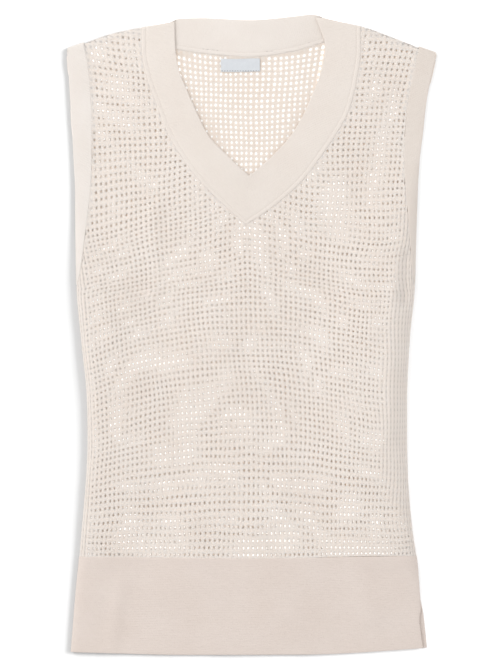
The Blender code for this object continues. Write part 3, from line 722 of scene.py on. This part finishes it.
def make_piece(name, points, quads, uv, finish):
    """A smooth object at the origin from points in metres, four-cornered faces and a UV place for each point.
    Points below the table are lifted onto it."""
    points = np.concatenate([points[:, :2], np.maximum(points[:, 2:], 0.0)], axis=1)
    mesh = bpy.data.meshes.new(name)
    mesh.from_pydata(points, [], quads)
    layer = mesh.uv_layers.new(name="cloth")
    corners = np.empty(len(mesh.loops), dtype=np.int32)
    mesh.loops.foreach_get("vertex_index", corners)
    layer.data.foreach_set("uv", np.asarray(uv, dtype=np.float32)[corners].ravel())
    mesh.shade_smooth()
    mesh.set_sharp_from_angle(angle=np.radians(80))
    mesh.materials.append(finish)
    piece = bpy.data.objects.new(name, mesh)
    bpy.context.scene.collection.objects.link(piece)
    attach(piece, "root")
    faces = len(mesh.loops) - 2 * len(mesh.polygons)
    print(f"{name}: {faces} triangles")
    return piece


def make_net(name, cloth, cells, plain, ribbed, hole, wall, finish, seed):
    """A net of holes: cells are (column, row) of each hole's lower left corner; hole is its share of the cell's
    width and height. A strand's half thickness goes from the wall's at the lines between holes to nothing at the
    rim. Where plain is true the stitches are close: the rim draws in to a pinprick level with the face. Where they
    are ribbed too, the middle of each column dips."""
    uneven = np.random.default_rng(seed)
    count = len(cells)
    keys = 2 * cells[:, None, :] + 1 + RING
    lines, which = np.unique(keys.reshape(-1, 2), axis=0, return_inverse=True)
    which = which.reshape(count, 8)
    column, row = lines[:, 0] / 2.0, lines[:, 1] / 2.0
    face, out = facing(cloth, column, row, 0.0)
    on_column, on_row = lines[:, 0] % 2 == 0, lines[:, 1] % 2 == 0
    in_dip = np.zeros(len(lines), dtype=bool)
    in_dip[which[ribbed]] = True
    in_dip[which[~ribbed]] = False
    in_dip &= ~on_column
    half = np.where(on_column, np.where(on_row, KNOT, COLUMN), np.where(in_dip, DIP, ROW))[:, None] * wall * MM
    middle = face - out * wall / 2 * MM
    size = 1 + uneven.normal(0, SIZE_SPREAD, (count, 1, 1))
    lean = uneven.normal(0, LEAN_SPREAD, (count, 1, 2))
    rim = cells[:, None, :] + 0.5 + lean + ROUND * size * (np.broadcast_to(hole, (count, 2)) / 2)[:, None]
    rim = rim.reshape(-1, 2)
    rim_face, rim_out = facing(cloth, rim[:, 0], rim[:, 1], RIM_CLEAR)
    rim_middle = (rim_face - rim_out * wall / 2 * MM).reshape(count, 8, 3)
    ring = (middle + out * half)[which]
    centre = ring.mean(axis=1, keepdims=True)
    dip = out[which].mean(axis=1, keepdims=True) * (GROOVE * MM * ribbed[:, None, None])
    rim_middle[plain] = (centre + PINPRICK * (ring - centre) - dip)[plain]
    top, low, rims = which, which + len(lines), 2 * len(lines) + np.arange(8 * count).reshape(count, 8)
    after = np.roll(np.arange(8), -1)
    upper = np.stack([top, top[:, after], rims[:, after], rims], axis=-1).reshape(-1, 4)
    lower = np.stack([low, rims, rims[:, after], low[:, after]], axis=-1).reshape(-1, 4)
    edges = np.sort(np.stack([top, top[:, after]], axis=-1).reshape(-1, 2), axis=1)
    _, first, uses = np.unique(edges, axis=0, return_index=True, return_counts=True)
    outer = np.stack([top, top[:, after]], axis=-1).reshape(-1, 2)[first[uses == 1]]
    sides = np.stack([outer[:, 1], outer[:, 0], outer[:, 0] + len(lines), outer[:, 1] + len(lines)], axis=-1)
    points = np.concatenate([middle + out * half, middle - out * half, rim_middle.reshape(-1, 3)])
    uv = np.concatenate([lines / 2.0, lines / 2.0, rim])
    piece = make_piece(name, points, np.concatenate([upper, lower, sides]), uv, finish)
    rib = np.zeros(len(points), dtype=np.float32)
    rib[which[ribbed]] = 1.0
    rib[rims[ribbed]] = 1.0
    piece.data.attributes.new("ribbed", "FLOAT", "POINT").data.foreach_set("value", rib)
    return piece


# %% Which cells the front has
FRONT_HOLE = (0.34, 0.35)


def seam_across(side, down):
    """Across of the neck band's seam with the front."""
    return curve(SIDES[side]["neck"], "outer_down", "outer_across", down)


def front_cells():
    """Cells from hem to shoulder, up to the armhole seams and just under the neck band's edge."""
    grid = np.stack(np.meshgrid(np.arange(-40, 40), np.arange(0, 92)), axis=-1).reshape(-1, 2)
    column, row = grid[:, 0] + 0.5, grid[:, 1] + 0.5
    centre = front_cloth(column, row)
    low = front_cloth(column, row - 0.5)
    keep, plain, ribbed = (np.zeros(len(grid), dtype=bool) for _ in range(3))
    hole = np.tile(FRONT_HOLE, (len(grid), 1))
    for side, mine in (("left", column < 0), ("right", column > 0)):
        outwards = SIDES[side]["outwards"]
        across, down = centre[:, 0], centre[:, 1]
        from_neck = outwards * (across - seam_across(side, down))
        inside = np.abs(column) < curve(HALF_COLUMNS, "down", side, down) + EDGE_ROOM
        beside = (from_neck > -NET_UNDER_NECK) | (down > BELOW_V)
        under = low[:, 1] > shoulder_line(side, low[:, 0]) + EDGE_ROOM
        keep |= mine & inside & beside & under
        inset = outwards * (front_edge(side, down) - across)
        close = down < shoulder_line(side, across) + SHOULDER_PLAIN
        close |= (down < BELOW_V) & (from_neck < BAND_PLAIN)
        close |= (down < ARMHOLE_FOOT) & (reach_at(side, inset, down) < seam_start(side, down) + BAND_PLAIN)
        margin = curve(SIDE_PLAIN, "down", side, down)
        past = inset - margin - np.minimum(margin / 5, 3.0) * wander(across, 4 * down, 4.4)
        plain |= mine & (close | (past < 0))
        ribbed |= mine & (past < 0)
        hole[mine] *= 0.7 + 0.3 * np.clip(past[mine] / 15.0, 0, 1)[:, None]
    return grid[keep], plain[keep], ribbed[keep], hole[keep]


cells, plain, ribbed, hole = front_cells()
print("stitches in the front:", len(cells), "of them close:", plain.sum(), "and ribbed:", ribbed.sum())
front_net = make_net("front_net", front_cloth, cells, plain, ribbed, hole, STRAND, net_yarn, 3)
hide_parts("front_panel")

# %% Which cells the back has
BACK_HOLE = (0.38, 0.42)
V_HOLE = (0.47, 0.57)  # wider where the cloth is drawn sideways in the neck
V_SLOPE, V_ROOM = 130.0, 12.0  # the open neck's half width, and how far past the V's point it is taken


def back_cells():
    """Cells from hem to shoulder, up to the armhole seams and one row under the back neck band's edge."""
    grid = np.stack(np.meshgrid(np.arange(-37, 37), np.arange(0, 94)), axis=-1).reshape(-1, 2)
    column, row = grid[:, 0] + 0.5, grid[:, 1] + 0.5
    centre = back_cloth(column, row)
    low = back_cloth(column, row - 0.5)
    across, down = centre[:, 0], centre[:, 1]
    neck = curve(NECK_BACK, "outer_across", "outer_down", across)
    in_neck = (across > NECK_BACK["outer_across"][0]) & (across < NECK_BACK["outer_across"][-1])
    keep = ~in_neck | (down > neck - NET_UNDER_NAPE)
    plain = in_neck & (down < neck + BAND_PLAIN)
    for side, mine in (("left", column < 0), ("right", column > 0)):
        inside = np.abs(column) < curve(BACK_HALF, "down", side, down) + EDGE_ROOM
        under = low[:, 1] > shoulder_line(side, low[:, 0]) + EDGE_ROOM
        keep &= ~mine | (inside & under)
        from_edge = SIDES[side]["outwards"] * (back_side(side, down) - across)
        plain |= mine & ((from_edge < BAND_PLAIN) | (down < shoulder_line(side, across) + SHOULDER_PLAIN))
    aside = np.where(across < 0, -across / NECK_LEFT["inner_across"][0], across / NECK_RIGHT["inner_across"][1])
    in_v = (np.abs(aside) < 1) & (down < NECK_LEFT["inner_down"][-1] - V_SLOPE * np.abs(aside) + V_ROOM)
    hole = np.where(in_v[:, None], V_HOLE, BACK_HOLE)
    return grid[keep], plain[keep], hole[keep]


cells, plain, hole = back_cells()
print("stitches in the back:", len(cells), "of them close:", plain.sum())
unribbed = np.zeros(len(cells), dtype=bool)
back_net = make_net("back_net", back_cloth, cells, plain, unribbed, hole, STRAND, back_net_yarn, 8)
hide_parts("back_panel")

# %% [markdown]
# ## Bands of plain knit
# A band is thicker and closer than the net. Each is a grid of points on its outer face, given a wall whose
# thickness swells from nothing at the border to the full wall within half a wall's width, as a rounded edge does.
# The face and the underside share their border points, so the band is one closed surface.

# %% Making a band
def close_steps(count, length, wall=BAND_WALL):
    """Shares from 0 to 1 along a length in millimetres, with close steps at both ends for the rounded border."""
    ends = np.array([0.0, 0.06, 0.2, 0.5, 1.0]) * wall / 2 / length
    return np.concatenate([ends, np.linspace(ends[-1], 1 - ends[-1], count)[1:-1], (1 - ends)[::-1]])


def rise(to_border, wall):
    """The part of its thickness a wall has this far in from its border: a quarter of a circle, then 1."""
    return np.sqrt(1 - (1 - np.clip(to_border / (wall / 2), 0, 1)) ** 2)


def border_distance(face):
    """Millimetres from each point of a grid to its nearest border, down from its first row, and over from its
    first column, all along the grid's lines."""
    rows = np.linalg.norm(np.diff(face, axis=0), axis=-1)
    cols = np.linalg.norm(np.diff(face, axis=1), axis=-1)
    down = np.concatenate([np.zeros((1, face.shape[1])), np.cumsum(rows, axis=0)])
    over = np.concatenate([np.zeros((face.shape[0], 1)), np.cumsum(cols, axis=1)], axis=1)
    near = np.minimum(np.minimum(down, down[-1:] - down), np.minimum(over, over[:, -1:] - over))
    return near, down, over


def grid_faces(index):
    """Four-cornered faces of a grid of point numbers."""
    corners = [index[:-1, :-1], index[:-1, 1:], index[1:, 1:], index[1:, :-1]]
    return np.stack(corners, axis=-1).reshape(-1, 4)


def make_band(name, face, wall, finish, up=None, relief=None):
    """A closed band from its outer face, a grid of (across, down, height). up is -1 where the grid's own normal
    points into the cloth; where it isn't given, the face looks up. relief is millimetres added to the face."""
    near, down, over = border_distance(face)
    place = metres(face)
    out = unit(np.cross(np.gradient(place, axis=1), np.gradient(place, axis=0)) * 1e6)
    up = up or np.sign(out[..., 2].sum())
    out = up * out
    part = rise(near, wall)[..., None]
    middle = place - out * wall / 2 * MM
    top = middle + out * part * wall / 2 * MM
    if relief is not None:
        top = top + out * part * relief[..., None] * MM
    low = middle - out * part * wall / 2 * MM
    rows, cols = face.shape[:2]
    index = np.arange(rows * cols).reshape(rows, cols)
    under = np.full((rows, cols), -1)
    inside = np.zeros((rows, cols), dtype=bool)
    inside[1:-1, 1:-1] = True
    under[inside] = rows * cols + np.arange(inside.sum())
    under[~inside] = index[~inside]
    quads = np.concatenate([grid_faces(index), grid_faces(under)[:, [0, 3, 2, 1]]])
    if up < 0:
        quads = quads[:, ::-1]
    points = np.concatenate([top.reshape(-1, 3), low[inside]])
    place_on = np.stack([over, down], axis=-1)
    uv = np.concatenate([place_on.reshape(-1, 2), place_on[inside]])
    return make_piece(name, points, quads, uv, finish)


def dress(node):
    """Hides the imported solid that a piece stands for."""
    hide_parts(node)


# %% [markdown]
# ## The hem
# A deep band of plain knit, front and back. The front one carries on the body's soft roll at the left; at the right
# it stops short of the back one, which shows as a sliver beyond it. A crease runs up from its lower left.

# %% Front and back hem bands
HEM_TOP, HEM_DEPTH = 542.0, 97.0  # about where its seam lies, and its depth


def hem_down(across, share):
    """Down of a point at a share of the way from the hem's seam to its edge."""
    top = curve(HEM_SEAM, "across", "down", across) + SEAM_GAP
    return top + (curve(HEM_EDGE, "across", "down", across) - top) * share


def hem_face():
    """The front hem's outer face: each half is a grid of reach in from the side, joined at the middle."""
    share = close_steps(46, 96.0)[:, None]
    halves = []
    for side in ("left", "right"):
        outwards, roll = SIDES[side]["outwards"], SIDES[side]["roll"]
        guess = HEM_TOP + HEM_DEPTH * share
        start = curve(roll, "down", "start", guess)
        inner = reach_at(side, outwards * (front_edge(side, guess) - FRONT_MIDDLE), guess)
        over = close_steps(110, 175.0)[:115][None, :]
        over = over / over[0, -1]
        reach, down = start + (inner - start) * over, guess + 0 * over
        for _ in range(3):
            down = hem_down(front_face(side, reach, down)[..., 0], share)
        face = front_face(side, reach, down)
        face[:, -1, 0] = FRONT_MIDDLE
        lift = BAND_RISE * np.clip(face[..., 2] / 3.0, 0, 1)
        face[..., 2] += lift
        face[..., 0] += outwards * lift * np.clip(1 - reach / 6, 0, 1) * 0.7
        halves.append(face)
    left, right = halves
    return np.concatenate([left[:, :-1], right[:, ::-1]], axis=1)


face = hem_face()
hem_front = make_band("hem_front", face, BAND_WALL, hem_yarn)

share = close_steps(30, 96.0)[:, None]
guess = HEM_TOP + HEM_DEPTH * share
over = close_steps(90, 340.0)[None, :]
left, right = back_side("left", guess), back_side("right", guess)
across = left + (right - left) * over
face = np.stack([across, hem_down(across, share), np.full(across.shape, BAND_WALL)], axis=-1)
hem_back = make_band("hem_back", face, BAND_WALL, hem_yarn)

# %% [markdown]
# ## The neck band
# The band runs down both sides of the V, where its halves meet in a mitre, and across the back. Where it is linked
# to the body, the join shows as a narrow flat strip between two fine grooves.

# %% Neck bands
MITRE_LAP = 0.7  # each half goes past the mitre, so their stitches lock
SHOULDER_BEND = 20.0  # the band's top is bent to the shoulder's line over this much


def linking(from_seam):
    """Relief in millimetres of the linked join, by distance from the seam: a groove, a low strip, a groove."""
    strip = 0.12 * np.exp(-(((from_seam - SEAM_STRIP / 2) / 1.5) ** 4))
    inner = -0.3 * np.exp(-(((from_seam - SEAM_STRIP) / 0.8) ** 2))
    outer = 0.25 * np.exp(-(((from_seam - 0.3) / 0.5) ** 2))
    return strip + (inner - outer)


def band_parts(seam_steps, rest_start, rest_steps):
    """Shares across a neck band, from the seam to the free edge: close at both, and closer over the join."""
    return np.concatenate([
        [0, 0.003, 0.01, 0.02], np.linspace(0.028, 0.16, seam_steps), np.linspace(rest_start, 0.97, rest_steps),
        [0.98, 0.99, 0.996, 1.0]])[None, :]


def neck_face(side):
    """The front neck band's face: sections from the seam in to the free edge, carried down the V."""
    outwards, table = SIDES[side]["outwards"], SIDES[side]["neck"]
    share, part = close_steps(150, 240.0)[:, None], band_parts(14, 0.19, 26)
    outer_x, outer_y, inner_x, inner_y = (along(table, column, share) for column in table)
    across = outer_x + (inner_x - outer_x) * part
    down = outer_y + (inner_y - outer_y) * part
    bend = shoulder_line(side, across)[:1] - down[:1]
    down = down + bend * np.clip(1 - (down - down[:1]) / SHOULDER_BEND, 0, 1) ** 2
    across = across - outwards * MITRE_LAP * share**40
    inset = outwards * (front_edge(side, down) - across)
    face = front_face(side, reach_at(side, inset, down), down)
    face[..., 0] = across
    face[..., 2] += BAND_RISE
    return face


neck = {}
for side in ("left", "right"):
    face = neck_face(side)
    relief = linking(border_distance(face)[2])
    neck[side] = make_band(f"neck_{side}", face, BAND_WALL, linked_yarn, relief=relief)

share, part = close_steps(90, 225.0)[:, None], band_parts(10, 0.2, 14)
outer_x, inner_x, inner_y = (
    along(NECK_BACK, column, share) for column in ("outer_across", "inner_across", "inner_down"))
outer_y = curve(NECK_BACK, "outer_across", "outer_down", outer_x)
across, down = outer_x + (inner_x - outer_x) * part, outer_y + (inner_y - outer_y) * part
face = np.stack([across, down, np.full(across.shape, BAND_WALL)], axis=-1)
neck_back = make_band("neck_back", face, BAND_WALL, nape_yarn, relief=linking(border_distance(face)[2]))

# %% [markdown]
# ## Armhole bands
# One strip of plain knit for each armhole: up the front, over the shoulder fold and down the back. Below the chest
# the front leaf rolls round the side and narrows to nothing at the underarm.

# %% Armhole bands
def armhole_face(side):
    """A strip from the front's underarm over the shoulder to the back's: front leaf, half circle, back leaf."""
    outwards, table = SIDES[side]["outwards"], SIDES[side]["armhole"]
    top = table["seam_down"][0]
    part = close_steps(20, 18.0)[None, :]
    seam_y = np.concatenate([top + np.array([0, 0.4, 1, 2, 3.4, 5.2]), np.linspace(top + 8, ARMHOLE_FOOT, 110)])
    edge_y, edge_reach, seam_inset, back_edge_inset, back_seam_inset = (
        curve(table, "seam_down", column, seam_y)[:, None]
        for column in ("edge_down", "edge_reach", "seam_inset", "back_edge", "back_seam")
    )
    seam_y = seam_y[:, None]
    radius = (FRONT_LEVEL + ARMHOLE_RISE) / 2
    lowered = radius * np.clip(1 - (seam_y - top) / 8, 0, 1)
    down = edge_y + (seam_y - edge_y) * part
    seam_reach = reach_at(side, seam_inset, seam_y)
    reach = edge_reach + (seam_reach - edge_reach) * part
    front = front_face(side, reach, down)
    front[..., 2] = np.where(down < down[0] + 2 * SHOULDER_CURL, FRONT_LEVEL, front[..., 2])
    front[..., 1] += lowered
    front[..., 2] += ARMHOLE_RISE * np.clip(front[..., 2] / 3.0, 0, 1)
    turn = np.radians(np.arange(12, 180, 12))[:, None]
    fold_top = down[:1] - radius * np.sin(turn)
    fold_z = radius * (1 + np.cos(turn)) + 0 * part
    fold = np.stack([front[:1, :, 0] + 0 * turn, fold_top, fold_z], axis=-1)
    back_inset = back_edge_inset + (back_seam_inset - back_edge_inset) * part
    back_down = seam_y + lowered + (edge_y - seam_y) * (1 - part) * (seam_y < 100)
    back_across = curve(OUTLINE, "down", side, back_down) - outwards * back_inset
    back_across[0] = front[0, :, 0]
    back = np.stack([back_across, back_down, np.zeros(back_down.shape)], axis=-1)
    return np.concatenate([front[::-1], fold, back])


armholes = {}
for side in ("left", "right"):
    armholes[side] = make_band(
        f"armhole_{side}", armhole_face(side), BAND_WALL, arm_yarn_lit_and_shaded[side], up=1.0 if side == "left" else -1.0)

# %% [markdown]
# ## The label
# A small woven tape is sewn inside the back neck. Any words on such a tape are left out: it is plain satin, held by
# a few dark stitches along its lower edge.

# %% Label and its stitches
LABEL = dict(left=-30.5, right=8.5, top=44.5, foot=57.5, height=2.55, wall=0.5)
over, lower = close_steps(40, 39.0, 0.5)[None, :], close_steps(12, 13.0, 0.5)[:, None]
across = LABEL["left"] + (LABEL["right"] - LABEL["left"]) * over + 0 * lower
down = LABEL["top"] + (LABEL["foot"] - LABEL["top"]) * lower + 0.25 * np.sin(over * 5)
height = LABEL["height"] + 0.2 * np.sin(over * 7 + 1) * (1 - lower) + 0 * lower
label = make_band("label", np.stack([across, down, height], axis=-1), LABEL["wall"], label_satin)


def stitch_row(name, centres, along_x, size, finish):
    """Small stitches: one rounded grain of thread repeated at the centres, (n, 3) in millimetres, lying along a
    direction in the surface. size is its length, width and height."""
    turns, rings = np.radians(np.arange(0, 360, 60)), np.array([-0.92, -0.5, 0.0, 0.5, 0.92])
    wide = np.sqrt(1 - rings**2) * 0.5
    grain = np.stack([
        np.repeat(rings * 0.5, 6) * size[0],
        np.outer(wide, np.cos(turns)).ravel() * size[1],
        np.outer(wide, np.sin(turns)).ravel() * size[2],
    ], axis=-1)
    ring = np.arange(6)
    quads = np.concatenate([
        np.stack([k * 6 + ring, k * 6 + (ring + 1) % 6, k * 6 + 6 + (ring + 1) % 6, k * 6 + 6 + ring], axis=-1)
        for k in range(4)
    ])
    ends = np.array([[0, 3, 2, 1], [0, 5, 4, 3], [24, 25, 26, 27], [24, 27, 28, 29]])
    quads = np.concatenate([quads[:, ::-1], ends])[:, ::-1]
    side_x = np.stack([-along_x[:, 1], along_x[:, 0]], axis=-1)
    flat = centres[:, None, :2] + grain[None, :, :1] * along_x[:, None] + grain[None, :, 1:2] * side_x[:, None]
    high = centres[:, None, 2] + grain[None, :, 2]
    points = metres(np.concatenate([flat, high[..., None]], axis=-1)).reshape(-1, 3)
    faces = (quads[None] + 30 * np.arange(len(centres))[:, None, None]).reshape(-1, 4)
    uv = np.tile(grain[:, :2], (len(centres), 1))
    return make_piece(name, points, faces, uv, finish)


low_edge = np.linspace(-29.3, 7.3, 15)
centres = np.stack([low_edge, np.full(15, 56.7), np.full(15, 2.62)], axis=-1)
label_stitches = stitch_row(
    "label_stitches", centres, np.tile([1.0, 0.12], (15, 1)), (1.3, 0.42, 0.42), label_thread)

# %% [markdown]
# ## The cut of each piece
# Each piece's area is printed. The sizes that a maker would cut were read off the photograph. The areas of
# the two nets are the model's own, and the back neck band and the armhole bands were brought near what the pieces
# measure, so for those the measure is no proof of the size.

# %% Cloth sizes
def area(piece):
    """Half the surface of a closed piece, in square metres."""
    return sum(polygon.area for polygon in piece.data.polygons) / 2


cut = (front_net, back_net, hem_front, hem_back, *neck.values(), neck_back, *armholes.values(), label)
print("areas, square metres:", {piece.name: round(area(piece), 4) for piece in cut})
dress("front_hem_band")
dress("back_hem_band")
dress("neck_band_left")
dress("neck_band_right")
dress("neck_band_back")
dress("armhole_band_left")
dress("armhole_band_right")
dress("neck_label")

# %% [markdown]
# ## Where it lies
# The photograph looks straight down on the vest on a bright white table, in soft light that leaves only a narrow
# shadow round it. Three things stand in for that light, and a real table has none of them: it glows white below
# the vest, so holes show white where front and back line up, it glows faintly round it, more at the right than at
# the left, and a low lamp lights the table alone.

# %% The table
# The part of the table below the vest, in metres from the middle: the sides' half width at the waist, how high the
# waist is and how the sides bow out from it; the shoulders' height, where they begin and their slope; the foot
WAIST_HALF, WAIST_LOW, SIDE_BOW = 0.158, 0.09, 0.15
SHOULDER_TOP, SHOULDER_FROM, SHOULDER_SLOPE = 0.3065, 0.11, 0.36
FOOT, EDGE_SOFT = -0.29, 0.0015
TABLE_GLOW, NECK_GLOW = 1.04, 0.52  # strength below the vest, and the share of it left in the open neck
GLOW_RIGHT, GLOW_LEFT = 0.14, 0.03  # share of it round the vest


def pale_table():
    """A mid grey that the lamps bring up to white, with the faintest cloud in it, and lit from within below the
    vest. Where the neck is open it glows about half as much, and round the vest faintly."""
    finish = Finish("white table")
    spot, (x, y, _) = finish.place("object")
    cloud = finish.noise(spot, 1.5, 2.0)
    evened = x * 0.65 + y * -0.45 + (cloud - 0.5) * 0.05 + 0.465  # darker towards the key lamp: all comes out white
    finish.set(finish.shader.inputs["Base Color"], finish.mix(evened, (0.445,) * 3, (0.59,) * 3))
    finish.set(finish.shader.inputs["Roughness"], cloud * 0.1 + 0.8)
    aside = (x + 0.004).size()
    beyond_side = aside - (y + WAIST_LOW) * (y + WAIST_LOW) * SIDE_BOW - WAIST_HALF
    beyond_shoulder = y + (x.size() - SHOULDER_FROM) * SHOULDER_SLOPE - SHOULDER_TOP
    beyond = beyond_side.highest(beyond_shoulder).highest(FOOT - y)
    inside = finish.fade(beyond, EDGE_SOFT) * (outside_neck(finish, x, y) * (1 - NECK_GLOW) + NECK_GLOW)
    around = finish.mix(finish.fade(x - 0.10, 0.08), (GLOW_RIGHT,) * 3, (GLOW_LEFT,) * 3)
    finish.set(finish.shader.inputs["Emission Color"], finish.mix(inside, around, (1.0, 0.98, 0.96)))
    finish.shader.inputs["Emission Strength"].default_value = TABLE_GLOW
    finish.shader.inputs["Specular IOR Level"].default_value = 0.2
    return finish.material


steps = np.linspace(-3.0, 3.0, 9)
grid = np.stack(np.meshgrid(steps, steps), axis=-1)
points = np.concatenate([grid, np.full(grid.shape[:2] + (1,), -0.0002)], axis=-1).reshape(-1, 3)
mesh = bpy.data.meshes.new("floor")
mesh.from_pydata(points, [], grid_faces(np.arange(81).reshape(9, 9)))
mesh.materials.append(pale_table())
floor = bpy.data.objects.new("floor", mesh)
bpy.context.scene.collection.objects.link(floor)

# %% Light
world = bpy.data.worlds.new("soft room")
world.use_nodes = True
world.node_tree.nodes["Background"].inputs["Color"].default_value = (0.98, 0.99, 1.0, 1.0)
world.node_tree.nodes["Background"].inputs["Strength"].default_value = 0.88
bpy.context.scene.world = world


def lamp(name, kind, place):
    """A lamp at a place, turned to look at the middle of the table."""
    box = bpy.data.objects.new(name, bpy.data.lights.new(name, kind))
    bpy.context.scene.collection.objects.link(box)
    x, y, z = box.location = place
    box.rotation_euler = float(np.arctan2(np.hypot(x, y), z)), 0.0, float(np.arctan2(x, -y))
    return box


key = lamp("key", "AREA", (-1.3, 0.9, 1.6))
key.data.size, key.data.energy, key.data.color = 1.5, 19.0, (1.0, 0.99, 0.975)

# A low lamp from the right lights the table alone, and draws the soft shadow at the vest's left and foot
low_box = lamp("low lamp", "SUN", (2.2, 0.65, 1.6))
low_box.data.energy, low_box.data.angle = 4.1, np.radians(26)
table_alone = bpy.data.collections.new("table alone")
table_alone.objects.link(floor)
low_box.light_linking.receiver_collection = table_alone
bpy.context.scene.view_settings.view_transform = "Standard"
bpy.context.scene.view_settings.look = "None"
bpy.context.scene.view_settings.exposure = 0.0

# %% Camera
# The photograph is 500 by 667 pixels, and a pixel is a millimetre at the vest.
camera = bpy.data.objects.new("camera", bpy.data.cameras.new("camera"))
bpy.context.scene.collection.objects.link(camera)
HEIGHT, SEEN_HEIGHT = 2.6, 0.004  # of the camera, and of the cloth at which a pixel is a millimetre
camera.location = (-0.00174, 0.00103, HEIGHT)  # over the photograph's middle
camera.data.sensor_fit = "AUTO"
camera.data.sensor_width = 36.0
camera.data.lens = camera.data.sensor_width * (HEIGHT - SEEN_HEIGHT) / 0.667
camera.data.clip_start, camera.data.clip_end = 0.1, 20.0
bpy.context.scene.camera = camera
